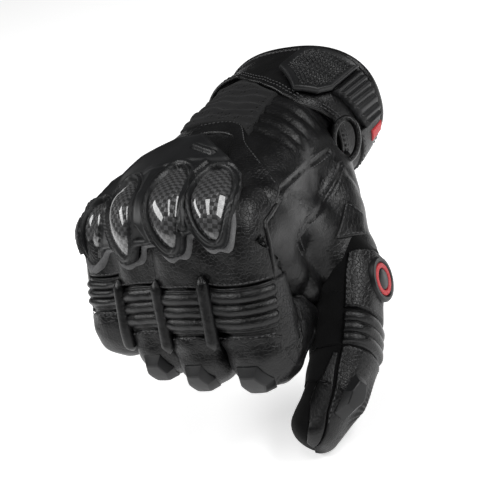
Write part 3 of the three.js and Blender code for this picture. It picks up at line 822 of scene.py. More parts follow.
def build_finger(name):
    d, k = DIGITS[name], FINGERS.index(name)
    surface = partial(front, name)
    first_rib, last_rib = RIBS[name]
    split = d.on(1, d.lengths[0] * 0.42)
    wrinkles = wrinkled(d)
    base = skin(name + "_base_skin", d, FINGER_START, split + 1.0, 34, GRAIN,
                relief=lambda *at: wrinkles(*at) - 1.0)
    over_joint(base, name, 1, "grained_leather")
    outer = skin(name + "_skin", d, split, d.end, 90, GRAIN, relief=wrinkles, close=True)
    over_joint(outer, name, 2, "grained_leather", name + "_sleeve", name + "_fingertip", name + "_tip_panel")

    # Leather from under the knuckle guard down to the ribs, which bridges the gap to the next finger.
    w, c = grid(FINGER_START, d.on(1, first_rib - 0.4), 70, -1, 1, 50)
    apron = panel(name + "_knuckle_leather", surface, w, c, GRAIN, height=LEATHER, roll=0.8,
                  edges=(1, 1, k == 3, k == 0), relief=pebbled(11.0, 2))
    over_joint(apron, name, 1, "grained_leather")

    if k == 0:
        line, out = line_on(surface, [FINGER_START - 1, d.on(1, first_rib)], [1, 1], 0.01, 0.5)
        welt = tube("side_welt", line, SMOOTH, radius=1.15, up=out, flat=0.9, sides=14, taper=4)
        over_joint(welt, name, 1, "smooth_leather")

    # Accordion ribs.
    w, c = grid(d.on(1, first_rib), d.on(1, last_rib), 100, -0.97, 0.97, 44)
    flex = panel(name + "_ribs", surface, w, c, SMOOTH, height=0.5, roll=0.8,
                 relief=rib_relief(d.on(1, first_rib + 1.4), d.on(1, last_rib - 1.6), FINGER_RIB))
    fixed_on(flex, name, "smooth_leather", name + "_flex_panel")
    for at in (first_rib - 1.6, last_rib + 1.9):
        stitch(name, *line_on(surface, [d.on(1, at)] * 2, [-0.85, 0.85], 0.01, 0.95))

    # The panel over the bent joint, with a scalloped upper edge.
    t, c = grid(0, 1, 70, -1, 1, 56)
    scallop = 3.4 * np.abs(c) ** 2.5
    w = lerp(d.on(1, last_rib + 0.3) + scallop, d.bend(3, 0.2), t)
    cover = panel(name + "_tip_leather", surface, w, c, GRAIN, height=1.0, roll=1.1, relief=pebbled(8.0, 6))
    over_joint(cover, name, 2, "grained_leather")

    # The rolled strip between this finger and the next.
    if k < 3:
        first, last = d.on(1, first_rib - 5.0), d.on(1, last_rib + 8.0)
        w = np.linspace(first, last, 60)
        line, out = gap_line(k, w)
        r = STRIP_RADIUS * (0.8 + 0.2 * smooth(0, 0.2, (w - first) / (last - first)))
        strip = tube(name + "_strip", line + out * STRIP_LIFT, SMOOTH, radius=r, up=out, flat=0.95, sides=18,
                     taper=7)
        fixed_on(strip, name, "smooth_leather", name + "_fourchette")


for finger in FINGERS:
    build_finger(finger)


def cap_solid(name, surface, walk, across, length, width, height, body, node):
    """A faceted cap on a surface's leather: a six-sided foot, steep sides and a smaller sloping six-sided
    top. width is in the units of across."""
    def place(walk, across):
        p, inside = surface(walk, across)
        return p + unit(p - inside) * LEATHER, inside
    outline = np.array([(-0.5, -0.28), (-0.5, 0.28), (0.0, 0.52), (0.5, 0.30), (0.5, -0.30), (0.0, -0.52)])
    rings = [(1.0, -0.6, 0.0), (1.0, 0.5, 0.0), (0.94, 0.9, 0.0), (0.56, height, -0.05),
             (0.48, height + 0.2, -0.05)]  # share of the outline, lift and move along, from foot to top
    dense = np.vstack([lerp(outline[i], outline[(i + 1) % 6], np.linspace(0, 1, 4, endpoint=False)[:, None])
                       for i in range(6)])
    rows = []
    for scale, lift, move in rings:
        p, inside = place(walk + (dense[:, 0] * scale + move) * length, across + dense[:, 1] * scale * width)
        rows.append(p + unit(p - inside) * lift)
    rows = np.array(rows)
    p, inside = place(np.array([walk - 0.05 * length]), np.array([across]))
    out = unit(p - inside)[0]
    top = p[0] + out * (height + 0.25)
    sides = len(dense)
    faces = facing_out(rows, grid_faces(len(rings), sides, wrap=True), np.broadcast_to(inside[0], rows.shape))
    flip = np.dot(np.cross(rows[-1, 1] - rows[-1, 0], top - rows[-1, 0]), out) < 0
    faces = faces.tolist() + fan((len(rings) - 1) * sides, sides, len(rings) * sides, flip)
    made = make_mesh(name, np.vstack([rows.reshape(-1, 3), top[None]]), faces, TPU)
    made.data.set_sharp_from_angle(angle=math.radians(16))
    fixed_on(made, body, "moulded_tpu", node)


for finger in FINGERS[:3]:
    cap_solid(finger + "_cap_moulded", partial(front, finger), DIGITS[finger].bend(2, 0.40), 0.0,
              15.0, 0.80, 3.0, finger + "_tip", finger + "_cap")


# ---------------------------------------------------------------- hand
def knuckle_y(x):
    """Where the row of knuckles lies along the hand, in hand coordinates, at a distance across it."""
    return -95.3 + 0.0068 * (np.maximum(x, -40) - 16) ** 2


def knuckle_z(x):
    return 2 - 0.0052 * (np.clip(x, -38, 40) - 6) ** 2


def hand_xyz(x, y, z):
    """A point from hand coordinates, whose origin is at the wrist crease, to the row's own."""
    return np.array([x, y + CREASE, z], float)


def cone(p, a, b, ra, rb):
    """Distance to a round bar from a to b whose radius goes from ra to rb."""
    distance, t = segment_distance(p, a, b)
    return distance - lerp(ra, rb, t)


def join(a, b, k):
    h = np.maximum(k - np.abs(a - b), 0) / k
    return np.minimum(a, b) - h * h * k / 4


# Round bars of flesh under the leather, in hand coordinates: ends, radii and how softly each one blends in.
FLESH = [(((22, -14, -12), (46, -41, -42), 17, 15.0), 12),  # ball of the thumb
         (((30, -4, -14), (38, -24, -26), 10.5, 12.5), 10),  # heel
         (((37, -72, -10), (40, -44, -30), 9.5, 11), 9),  # web of the thumb, three bars
         (((30, -60, -24), (44, -52, -44), 10, 10), 8),
         (((38, -58, -34), (42, -69, -43), 8, 6), 6),
         (((-22, -12, -10), (-33, -66, -14), 13, 13), 8),  # edge of the hand
         (((37.5, -89, -8), (38, -76, -31), 11.0, 9.5), 6),  # side of the index finger's root
         (((33, -80, -4), (33.6, -92, -5), 14.3, 13.6), 6),  # knuckles, index to little
         (((11, -82, 1), (11.5, -95, 2), 13.6, 14.0), 5),
         (((-12, -78, 0), (-12, -89, 0), 13.6, 14.0), 5),
         (((-33, -68, -6), (-34.6, -79, -7), 13.2, 13.8), 5)]
LOOP_CENTRE = (40.5, 0.5, -4)  # the pull loop, which the leather makes room for


def hand_field(p):
    """About the distance from p to the leather over the back and palm, negative inside."""
    q = p - hand_xyz(0, 0, 0)
    x, y, z = q[..., 0], q[..., 1], q[..., 2]
    ky = knuckle_y(x)
    s = np.clip((y + 0.4) / (ky + 0.4), 0, 1)
    square = 2 / lerp(0.85, 0.5, s)
    flare = np.maximum(y, 0) / CUFF
    wide = lerp(WRIST[0], 47.2, np.sin(s * math.pi / 2)) + (MOUTH[0] - WRIST[0]) * flare
    tall = z - s * knuckle_z(x)
    high = lerp(WRIST[1], np.where(tall > 0, 15.6, 17.5), s) + (MOUTH[1] - WRIST[1]) * flare
    r = (np.abs((x - 0.8 * s) / wide) ** square + np.abs(tall / high) ** square) ** (1 / square)
    field = -join((1 - r) * high, -(ky + 4 - y), 8)
    for bar, blend in FLESH:
        field = join(field, cone(q, *bar), blend)
    return -join(-field, cone(q, LOOP_CENTRE, (34, 4, -5), 6.5, 6.5), 3)


def gradient(field, p, h=0.05):
    return np.stack([field(p + e) - field(p - e) for e in np.eye(3) * h], -1) / (2 * h)


def settle(field, p, steps=4):
    """Points moved onto a field's surface, and its normals there."""
    for _ in range(steps):
        g = gradient(field, p)
        p = p - (field(p) / np.maximum((g * g).sum(-1), 0.05))[..., None] * g
    return p, unit(gradient(field, p))


def surface_net(field, low, high, step):
    """Points and faces of a field's surface between two corners. It is left open where the box cuts it."""
    at = np.stack(np.meshgrid(*[np.arange(a, b + step, step) for a, b in zip(low, high)], indexing="ij"), -1)
    f = field(at)
    cells = tuple(n - 1 for n in f.shape)
    total, count = np.zeros((*cells, 3)), np.zeros(cells)
    crossings = []
    for axis in range(3):
        lower, upper = [tuple(ends if i == axis else slice(None) for i in range(3))
                        for ends in (slice(None, -1), slice(1, None))]
        a, b = f[lower], f[upper]
        cross = (a < 0) != (b < 0)
        t = np.where(cross, a / np.where(cross, a - b, 1), 0)
        where = at[lower] + t[..., None] * np.eye(3)[axis] * step
        o1, o2 = [i for i in range(3) if i != axis]
        crossings.append((o1, o2, cross, a < 0))
        for d1, d2 in ((0, 0), (0, 1), (1, 0), (1, 1)):
            cut = [slice(None)] * 3
            cut[o1], cut[o2] = slice(d1, d1 + cells[o1]), slice(d2, d2 + cells[o2])
            cut = tuple(cut)
            total += where[cut] * cross[cut][..., None]
            count += cross[cut]
    active = count > 0
    index = -np.ones(cells, int)
    index[active] = np.arange(active.sum())
    faces = []
    for axis, (o1, o2, cross, starts_inside) in enumerate(crossings):
        cut = [slice(None)] * 3
        cut[o1], cut[o2] = slice(1, cells[o1]), slice(1, cells[o2])
        edges = np.argwhere(cross[tuple(cut)])
        edges[:, [o1, o2]] += 1
        inside = starts_inside[tuple(edges.T)]
        quad = []
        for d1, d2 in ((1, 1), (0, 1), (0, 0), (1, 0)):
            cell = edges.copy()
            cell[:, o1] -= d1
            cell[:, o2] -= d2
            quad.append(index[tuple(cell.T)])
        quad = np.stack(quad, -1)
        flip = inside if axis == 1 else ~inside
        quad[flip] = quad[flip][:, ::-1]
        faces.append(quad)
    return total[active] / count[active][:, None], np.vstack(faces)


SEAMS = []
SEAM_DEPTH = 0.55


def seam(points):
    """A sewn seam on the hand's leather: a groove between two rows of stitches."""
    line, normal = settle(hand_field, curve_through([hand_xyz(*q) for q in points], 70))
    SEAMS.append(line)
    across = unit(np.cross(normal, unit(np.gradient(line, axis=0))))
    for side in (1, -1):
        beside, n = settle(hand_field, line + across * 1.7 * side)
        stitch("hand", beside + n * 0.15, n)


def draped(rows, nu, nv):
    """A surface laid on the leather through a coarse net of places in hand coordinates, and its grid."""
    net = [resample(curve_through([hand_xyz(*q) for q in row], nv), nv) for row in rows]
    dense = np.stack([resample(curve_through(column, nu), nu) for column in zip(*net)], 1)
    points, normals = settle(hand_field, dense, 6)
    return (lambda u, v: (points, points - normals)), grid(0, 1, nu, 0, 1, nv)


def build_hand():
    low, high = hand_xyz(-54, -110, -62), hand_xyz(66, 20.0, 34)
    points, faces = surface_net(hand_field, low, high, 1.05)
    points, normal = settle(hand_field, points, 3)
    x, y, z = points[:, 0], points[:, 1] - CREASE, points[:, 2]
    lift = 0.30 * waves(points, 26, 11) + 0.12 * waves(points, 9, 12)
    # Soft diagonal folds across the back of the wrist, on its thumb side.
    fold = (y * 0.86 + x * 0.22 + 2.2 * waves(points, 46, 4)) / 7.5
    where = smooth(-46, -34, y) * (1 - smooth(-8, -2, y)) * smooth(2, 14, x) * smooth(4, 12, z)
    lift = lift + 1.25 * where * (np.abs(np.sin(fold * math.pi)) ** 1.4 - 0.5)
    # Creases where the palm folds.
    under = 1 - smooth(-16, -6, z)
    lift = lift - 0.9 * under * bump(y + 0.25 * x, -52, 3.0) - 0.8 * under * bump(y - 0.3 * x, -30, 2.6)
    for line in SEAMS:
        d = line_distance(points, line[::2])
        lift = lift - SEAM_DEPTH * bump(d, 0, 0.75) + 0.22 * bump(d, 2.0, 1.0)
    points = points + normal * lift[:, None]
    made = make_mesh("hand_leather", points, faces, SMOOTH)
    thick = made.modifiers.new("thickness", "SOLIDIFY")
    made.data.materials.append(LINING)
    thick.thickness, thick.offset, thick.material_offset = 1.4 * MM, -1, 1
    fixed_on(made, "hand", "smooth_leather", "back_panel", "palm_panel")


# Seams of the hand's leather, through places in hand coordinates.
LONG_SEAM = [(46, -73, 5.5), (43.4, -48, 3), (40, -29, -0.8), (40.7, -16.7, -1.8)]
WEB_SEAM = [(44.4, -16.5, -9), (46, -28, -11.5), (45.3, -41, -14.6), (48.1, -51, -14.6), (49.8, -68, -13),
            (47.5, -74, -17), (42, -67.6, -24.8)]
SIDE_SEAM = [(46, -73, 5.5), (47.3, -87.5, 1.6)]
PALM_SEAMS = [[(-30, -6, -18), (-36, -34, -17), (-41, -62, -15)],
              [(24, -12, -27), (12, -34, -24), (16, -60, -20)]]
for places in (LONG_SEAM, WEB_SEAM, SIDE_SEAM, *PALM_SEAMS):
    seam(places)
build_hand()

# Nets of places, in hand coordinates, for the panels sewn to the hand's leather.
BAND_OUTER = [(-12, -27, 21.6), (-9, -29.5, 21.7), (2, -30, 21.8), (13, -34.5, 21.7), (23, -50, 19),
              (34.3, -61, 14.7), (40.8, -67, 10.5), (45.4, -72, 6.2), (47.0, -80, 3.8), (47.3, -88, 1.4)]
BAND_INNER = [(-14, -37, 21), (-9, -40, 21), (3, -41, 21), (14, -46, 20), (19, -60, 19), (25, -72, 18),
              (31, -82, 15), (36, -89, 12), (41, -94, 9), (44, -97, 6)]
STRETCH = [[(-30, 12, 16), (-11, 16, 24), (5, 3.5, 24), (15, -2, 21.5)],
           [(-30, -6, 17), (-10, -8, 22), (4, -10, 23), (17, -20, 21)],
           [(-29, -22, 17), (-9, -28, 21.5), (8, -32, 21.7), (21, -44, 19.5)]]
PALM_PATCH = [[(-24, -16, -22), (-4, -14, -24), (16, -18, -25)],
              [(-29, -38, -21), (-6, -38, -22), (12, -40, -23)],
              [(-27, -62, -19), (-4, -66, -18), (14, -60, -20)]]
THUMB_PATCH = [[(51, -34, -20), (52, -30.5, -21), (54.5, -28, -29)],
               [(51, -52, -28), (54, -48, -30), (58.7, -37, -34)]]


def rim_stitches(base, inside, body, sides, lift):
    """Stitches along some edges of a panel's grid: "u0", "u1", "v0" and "v1"."""
    normal, inset = grid_normals(base, inside), 4
    rows = {"u0": (inset, slice(None)), "u1": (-1 - inset, slice(None)), "v0": (slice(None), inset),
            "v1": (slice(None), -1 - inset)}
    for at in map(rows.get, sides.split()):
        stitch(body, base[at] + normal[at] * lift, normal[at])


def hand_piece(name, rows, material, slot, nu, nv, height, sides, relief, node):
    """A panel sewn to the hand's leather, over a coarse net of places."""
    surface, (u, v) = draped(rows, nu, nv)
    made = panel(name, surface, u, v, material, height=height, roll=1.2, relief=relief)
    fixed_on(made, "hand", slot, node)
    rim_stitches(*surface(u, v), "hand", sides, height - 0.1)


def gathers(u, v, e, base):
    """Elastic gathers across the stretch panel, deepest away from its sewn edges."""
    ripple = np.sin((base[..., 1] * 0.9 + base[..., 0] * 0.25) * 1.15 + 1.3 * waves(base, 22.0, 7))
    return smooth(1.0, 6.0, e) * (1.1 + 0.55 * ripple + 0.35 * waves(base, 7.0, 8))


def worn(u, v, e, base):
    return 0.3 * waves(base, 14.0, 9)


def worn_little(u, v, e, base):
    return 0.1 * waves(base, 9.0, 21)


hand_piece("stretch_back", STRETCH, MESH, "stretch_fabric", 70, 90, 0.9, "", gathers, "stretch_panel")
hand_piece("band_leather", [BAND_OUTER, BAND_INNER], GRAIN, "smooth_leather", 40, 150, 1.0, "u0", worn,
           "side_band")
# The palm patch is in the dark suede, whose colour is partly painted shade.
hand_piece("palm_suede", PALM_PATCH, SUEDE_WITH_PAINTED_SHADE, "suede", 70, 70, 1.3, "u0 u1 v0 v1", worn, "palm_patch")
hand_piece("thumb_root_leather", THUMB_PATCH, SMOOTH, "smooth_leather", 44, 44, 0.9, "u0 u1 v0 v1", worn,
           "thumb_back_patch")


# ---------------------------------------------------------------- knuckle guard
GUARD_ARC = 18.0  # radius of the bend along which t is measured
GUARD_OUTER = 18.2  # radius of the guard's plain outer face
GUARD_BEND = 24.0  # where the guard leaves the bend and runs straight on
GUARD_RIM = 3.3  # how far the guard reaches round the inserts
GUARD_THICK, BACKING_THICK = 2.6, 0.6
INSERT_SINK, INSERT_DOME = 0.9, 3.0
# Each insert: where its middle is across and over the knuckles, and half its width and length.
INSERTS = {"index": (29.2, 3.5, 7.9, 20.4), "middle": (9.3, 5.0, 8.5, 23.4), "ring": (-17.3, 9.8, 8.9, 21.4),
           "little": (-39.0, 15.5, 6.6, 14.5)}
LEAN = {"index": 0.20, "middle": 0.21, "ring": 0.20, "little": -0.10}
STRIPS = [(17.5, 46.0), (-6.0, 17.5), (-31.5, -6.0), (-50.0, -31.5)]


def guard_place(x, t):
    """Points of the guard's plain outer face, and the points inside them: x across the hand, and t
    millimetres forward over the knuckles from their tops."""
    a = np.clip(t, 0, GUARD_BEND) / GUARD_ARC
    back, past = np.maximum(-t, 0), np.maximum(t - GUARD_BEND, 0)
    ky, kz = knuckle_y(x) + CREASE, knuckle_z(x)
    r = GUARD_OUTER - 0.5 * smooth(5, -30, x)
    points = np.stack([x + 0 * t, ky + back - r * np.sin(a) - past * np.cos(a),
                       kz * (1 - back / 95) + r * np.cos(a) - past * np.sin(a) + back * 0.14], -1)
    inside = np.stack([x * 0.8 + 0 * t, ky + back + 0 * t, kz * (1 - back / 95) + back * 0.14 - 4 - past], -1)
    return points, inside


def insert_rho(name, x, t):
    """0 in the middle of an insert and 1 on its outline, a teardrop broader at its back end."""
    cx, ct, half, length = INSERTS[name]
    v = (t - ct) / length
    w = half * (1 - 0.16 * np.clip(v, -1.3, 1.3))
    return np.sqrt(((x - cx - LEAN[name] * (t - ct)) / w) ** 2 + v ** 2)


def slopes(edge, x, t, h=0.05):
    """How fast a distance grows across the hand and over the knuckles."""
    return (edge(x + h, t) - edge(x - h, t)) / (2 * h), (edge(x, t + h) - edge(x, t - h)) / (2 * h)


def insert_distance(name, x, t):
    """About the distance in millimetres outside an insert's outline."""
    rho = partial(insert_rho, name)
    return (rho(x, t) - 1) / np.maximum(np.hypot(*slopes(rho, x, t)), 0.02)


PLATE = [(4.5, -44.0), (-10, -41.5), (-30, -29), (-43, -12), (-46.5, 4), (-45, 22), (-34, 26.6), (-8, 27.6),
         (3, 26.6), (24, 21.4), (36, 8), (35, -13.5), (28, -22.5)]


def guard_edge(x, t):
    """Distance outside the guard's outline, negative inside it."""
    g = polygon_distance(PLATE, x, t)
    for name in FINGERS:
        g = join(g, insert_distance(name, x, t) - GUARD_RIM, 1.6)
    return g


# What stands up or is cut in on the guard between its inserts, as (x, t) places.
BARS = [[(16.6, -20.5), (14.6, -12), (16.4, -1), (18.9, 8.5), (21.0, 18.8)],
        [(-29.4, 4.0), (-30.3, 12), (-32.6, 18.6), (-34.4, 23.0)]]
SLOT = [(5.2, -33.0), (17.0, -27.4)]
RIDGE = [(-9.5, -14), (-7.4, -6), (-4.4, 5.5), (-2.4, 17.0)]
NOTCH = [(-5.6, 24.6), (2.2, 24.6), (-2.2, 17.6)]


def guard_relief(x, t):
    e, at = -guard_edge(x, t), np.stack([x, t], -1)
    nearest = np.min([insert_distance(name, x, t) for name in FINGERS], axis=0)
    # A rolled rim, and a double one round each insert's bed.
    lift = 0.35 * bump(e, 1.0, 0.9)
    lift = lift + 1.15 * bump(nearest, 0.95, 0.75) - 0.25 * bump(nearest, 2.0, 0.45)
    lift = lift + 0.75 * bump(nearest, 2.95, 0.6) - 1.5 * (1 - smooth(-0.6, 0.3, nearest))
    for line in BARS:
        d = line_distance(at, line)
        bar = (1 - smooth(1.15, 1.75, d)) * smooth(0.6, 1.6, nearest) * (1.5 - 0.55 * bump(d, 0, 0.45))
        lift = lift * smooth(1.2, 2.4, d) + bar
    brow = -23.2 + 0.13 * np.maximum(8 - x, 0) ** 1.35
    lift = lift + 0.9 * (1 - smooth(brow - 0.4, brow + 1.8, t))
    d = line_distance(at, SLOT)
    lift = lift + 1.1 * (1 - smooth(0.75, 1.3, d)) - 0.5 * bump(d, 1.8, 0.5)
    # The broad sloping face between the middle and ring inserts, and the notch at its lower end.
    d = line_distance(at, RIDGE)
    lift = lift + 1.3 * np.clip(1 - d / 6.5, 0, 1) * smooth(2.6, 4.2, nearest)
    lift = lift - 1.7 * (1 - smooth(-0.9, 0.1, polygon_distance(NOTCH, x, t)))
    edge = rounded_edge(e, 1.1)
    return lift * edge - 1.1 * (1 - edge)


def strip_grid(q0, q1, t0, t1, step=0.55):
    """A grid over one strip of the guard whose sides lean as the inserts do."""
    q, t = grid(q0, q1, max(int(round((q1 - q0) / step)), 2) + 1, t0, t1, int(round((t1 - t0) / step)) + 1)
    return q + np.interp(q, [-32, -12], [-0.10, 0.20]) * t, t


def clean_cut(edge, x, t):
    """The cells of a grid inside an outline, and the grid with their outer corners moved onto the outline. On
    the first and last rows they move along the row only, so that neighbouring strips still meet."""
    keep = edge((x[:-1, :-1] + x[1:, 1:]) / 2, (t[:-1, :-1] + t[1:, 1:]) / 2) < 0
    around = np.pad(keep, 1)
    touching = [around[i:i + x.shape[0], j:j + x.shape[1]] for i in (0, 1) for j in (0, 1)]
    border = np.any(touching, axis=0) & ~np.all(touching, axis=0)
    for row, beside in ((0, 1), (-1, -2)):
        border[row] = np.any([around[beside, :-1], around[beside, 1:]], axis=0)
        border[row] &= ~np.all([around[beside, :-1], around[beside, 1:]], axis=0)
    lean = np.gradient(x, axis=1) / np.gradient(t, axis=1)
    for _ in range(3):
        g = edge(x, t)
        gx, gt = slopes(edge, x, t)
        size = np.maximum(gx ** 2 + gt ** 2, 0.3)
        dx, dt = -g * gx / size, -g * gt / size
        for row in (0, -1):
            slope = gt[row] + gx[row] * lean[row]
            dt[row] = -g[row] / np.where(np.abs(slope) < 0.4, 0.4, slope)
            dx[row] = dt[row] * lean[row]
        step = np.clip(np.hypot(dx, dt), 1e-9, None)
        short = np.minimum(1, 0.6 / step) * border
        x, t = x + dx * short, t + dt * short
    return keep, x, t


def leather_tree():
    """The leather under the guard, to lay things on."""
    verts, faces = [], []
    for name in ["hand_leather"] + [f + "_knuckle_leather" for f in FINGERS]:
        mesh = bpy.data.objects[name].data
        faces += [[len(verts) + i for i in polygon.vertices] for polygon in mesh.polygons]
        verts += [v.co / MM for v in mesh.vertices]
    return BVHTree.FromPolygons(verts, faces)


def laid_on(tree, points, normals):
    """Points dropped along their normals onto the leather, from a little above it."""
    laid, above = points.copy(), 6.0
    for i in np.ndindex(points.shape[:2]):
        place, _, _, _ = tree.ray_cast(Vector(points[i] + normals[i] * above), Vector(-normals[i]), 3 * above)
        if place is not None:
            laid[i] = place
    return laid


def guard_layer(name, label, edge, relief, thick, material, slot, nodes=(), tree=None):
    """One finger's strip of a layer of the guard. A layer with a tree is laid on the leather, and one without
    is thicker towards the wrist."""
    keep, x, t = clean_cut(edge, *strip_grid(*STRIPS[FINGERS.index(name)], -47, 42))
    base, inside = guard_place(x, t)
    normal = grid_normals(base, inside)
    if tree is not None:
        base = laid_on(tree, base, normal)
    top = base + normal * relief(x, t)[..., None]
    bottom = base - normal * (thick + (0 if tree else 2.8) * smooth(-14, -28, t))[..., None]
    made = masked_solid(label + name, top, bottom, keep, inside, material, sharp=50)
    over_joint(made, name, 1, slot, *nodes)


def border_edge(x, t):
    """Distance outside the suede backing, a hoop under the guard's rim that shows past its front edge."""
    g = guard_edge(x, t)
    return np.maximum(g - 1.5 * smooth(9, 18, t), -1.2 - g)


def border_relief(x, t):
    return 1.2 * np.sqrt(np.clip(-border_edge(x, t), 0, 1))


def build_guard():
    tree = leather_tree()
    for name in FINGERS:
        nodes = ("knuckle_guard",) if name == "index" else ()
        guard_layer(name, "guard_", guard_edge, guard_relief, GUARD_THICK, TPU, "moulded_tpu", nodes)
        guard_layer(name, "guard_backing_", border_edge, border_relief, BACKING_THICK, EDGE_SUEDE, "suede",
                    tree=tree)


build_guard()


def build_insert(name):
    """A glossy dome of carbon weave in its rim, with a short wall and a flat underside."""
    cx, ct, half, length = INSERTS[name]
    inset = 0.985
    rho, phi = np.meshgrid(np.sin(np.linspace(0.04, 1, 26) * math.pi / 2),
                           np.linspace(0, 360, 96, endpoint=False), indexing="ij")
    v = rho * np.sin(np.radians(phi)) * inset
    w = half * (1 - 0.16 * v) * inset
    t = ct + v * length
    x = cx + rho * np.cos(np.radians(phi)) * w + LEAN[name] * (t - ct)
    base, inside = guard_place(x, t)
    normal = unit((base - inside) * (0, 1, 1))
    top = base + normal * (-INSERT_SINK + INSERT_DOME * (1 - rho ** 3.2))[..., None]
    low = base[-1] - normal[-1] * 2.0
    rows, sides = rho.shape
    centre, _ = guard_place(np.array([cx]), np.array([ct]))
    n = normal[0].mean(0)
    peak = centre + n * (INSERT_DOME - INSERT_SINK)
    vertices = np.vstack([top.reshape(-1, 3), low, peak, low.mean(0)[None]])
    turned = np.dot(np.cross(vertices[1] - vertices[0], vertices[-2] - vertices[0]), n) < 0
    last = rows * sides
    walls = grid_faces(2, sides, wrap=True) + (last - sides)
    faces = facing_out(top, grid_faces(rows, sides, wrap=True), inside).tolist()
    faces += (walls if turned else walls[:, ::-1]).tolist()
    faces += fan(0, sides, len(vertices) - 2, turned) + fan(last, sides, len(vertices) - 1, not turned)
    uv = np.stack([x, t], -1)
    uv = np.vstack([uv.reshape(-1, 2), uv[-1], [[cx, ct], [cx, ct]]])
    made = make_mesh("carbon_" + name, vertices, faces, CARBON, uv)
    over_joint(made, name, 1, "carbon_insert", name + "_insert")


for finger in FINGERS:
    build_insert(finger)


# ---------------------------------------------------------------- cuff
# Where the cuff starts past the wrist crease, as pairs of angle and distance.
BASE_EDGE = [(-180, 4), (-130, 0), (-40, 0), (-10, 4), (4, 5.7), (20, 2), (40, -4), (60, -2), (80, 3.5),
             (110, 17), (135, 13), (160, 8), (180, 4)]
MM_PER_DEGREE = 0.55  # round the cuff


def cuff_place(y, angle, lift):
    """A point of the cuff: y millimetres past the wrist crease, angle round it from the thumb to the back."""
    y, angle = np.broadcast_arrays(np.asarray(y, float), np.asarray(angle, float))
    t = np.clip(y / CUFF, -0.2, 1.1)
    a = np.radians(angle)
    around = (angle + 180) % 360 - 180
    fullness = 6.5 * bump(around, -42, 38) * (1 - smooth(14, 50, y)) * smooth(-8, 6, y)
    fullness = fullness + 2.4 * bump(around, 128, 24) * (1 - smooth(16, 36, y)) * smooth(-4, 6, y)
    half, depth = (lerp(wrist, mouth, t) + lift + fullness for wrist, mouth in zip(WRIST, MOUTH))
    points = np.stack([half * power(np.cos(a), 0.85), y + CREASE, depth * power(np.sin(a), 0.85)], -1)
    inside = np.stack([0 * y, y + CREASE, 0 * y], -1)
    return points, inside


def cuff_line(y, angle, lift):
    points, inside = cuff_place(y, angle, lift)
    return points, unit(points - inside)


def build_cuff():
    columns, outer, inner = 200, 56, 24
    angle = np.linspace(-180, 180, columns, endpoint=False)
    start = np.interp(angle, *zip(*BASE_EDGE))
    rows = []
    for t in np.linspace(0, 1, outer):
        y = lerp(start, CUFF - 0.4, t)
        points, _ = cuff_place(y, angle, rounded_edge(t * 20, 1))
        out = unit(points - cuff_place(y, angle, -3)[0])
        crease = 0.35 * waves(points, 30, 31) + 0.16 * waves(points, 10, 32)
        low = np.sin(y * 0.55 + 1.5 * np.sin(np.radians(angle) * 2)) * bump(angle, -30, 60)
        lift = (crease + 0.315 * low) * smooth(0, 0.12, t) * (1 - smooth(0.9, 1, t))
        rows.append(points + out * lift[:, None])
    for t in np.linspace(1, 0, inner):
        rows.append(cuff_place(lerp(start + 0.4, CUFF - 0.4, t), angle, -1.4)[0])
    rows = np.array(rows)
    y_mid = rows[..., 1] - CREASE
    middle = cuff_place(y_mid, np.broadcast_to(angle, y_mid.shape), -0.3)[0]
    faces = facing_out(rows, grid_faces(len(rows), columns, wrap=True, closed=True), middle)
    made = make_mesh("cuff_leather", rows, faces, SMOOTH)
    made.data.materials.append(LINING)
    row_of = np.arange(len(faces)) // columns
    made.data.polygons.foreach_set("material_index", (row_of >= outer).astype(int))
    fixed_on(made, "hand", "smooth_leather", "cuff_shell")

    piping, out = cuff_line(start + 0.3, angle, 0.7)
    fixed_on(tube("cuff_piping", piping, SMOOTH, radius=1.05, up=out, closed=True), "hand", "smooth_leather")
    for inset in (2.4, 4.4):
        stitch("hand", *cuff_line(start + inset, angle, 1.35))

    rim, out = cuff_line(CUFF - 0.1 + 0 * angle, angle, -0.2)
    made = tube("rolled_binding", rim, SMOOTH, radius=BINDING, up=out, flat=0.8, sides=18, closed=True)
    fixed_on(made, "hand", "smooth_leather", "cuff_binding")
    stitch("hand", *cuff_line(CUFF - 3.4 + 0 * angle, angle, 1.3))


def cuff_panel(name, y0, y1, a0, a1, lift, height, material, slot, body, node, relief=None):
    """A panel on the cuff between two distances and two angles. y0 may depend on the angle."""
    t, a = grid(0, 1, max(int((y1 - 10) * 2.2), 20), a0, a1, max(int(abs(a1 - a0) * 2.4), 24))
    y = lerp(y0(a) if callable(y0) else y0, y1, t)
    made = panel(name, lambda u, v: cuff_place(y, v, lift), t, a, material, height=height, roll=0.8,
                 relief=relief)
    fixed_on(made, body, slot, node)


# The outline of the strap's stiff end, as pairs of distance past the wrist crease and angle.
STRAP_PLATE = [(16.8, 80.5), (33.5, 77.5), (37.2, 70), (37.2, 28.2), (14.4, 28.2), (6.4, 35), (0.2, 53.7)]


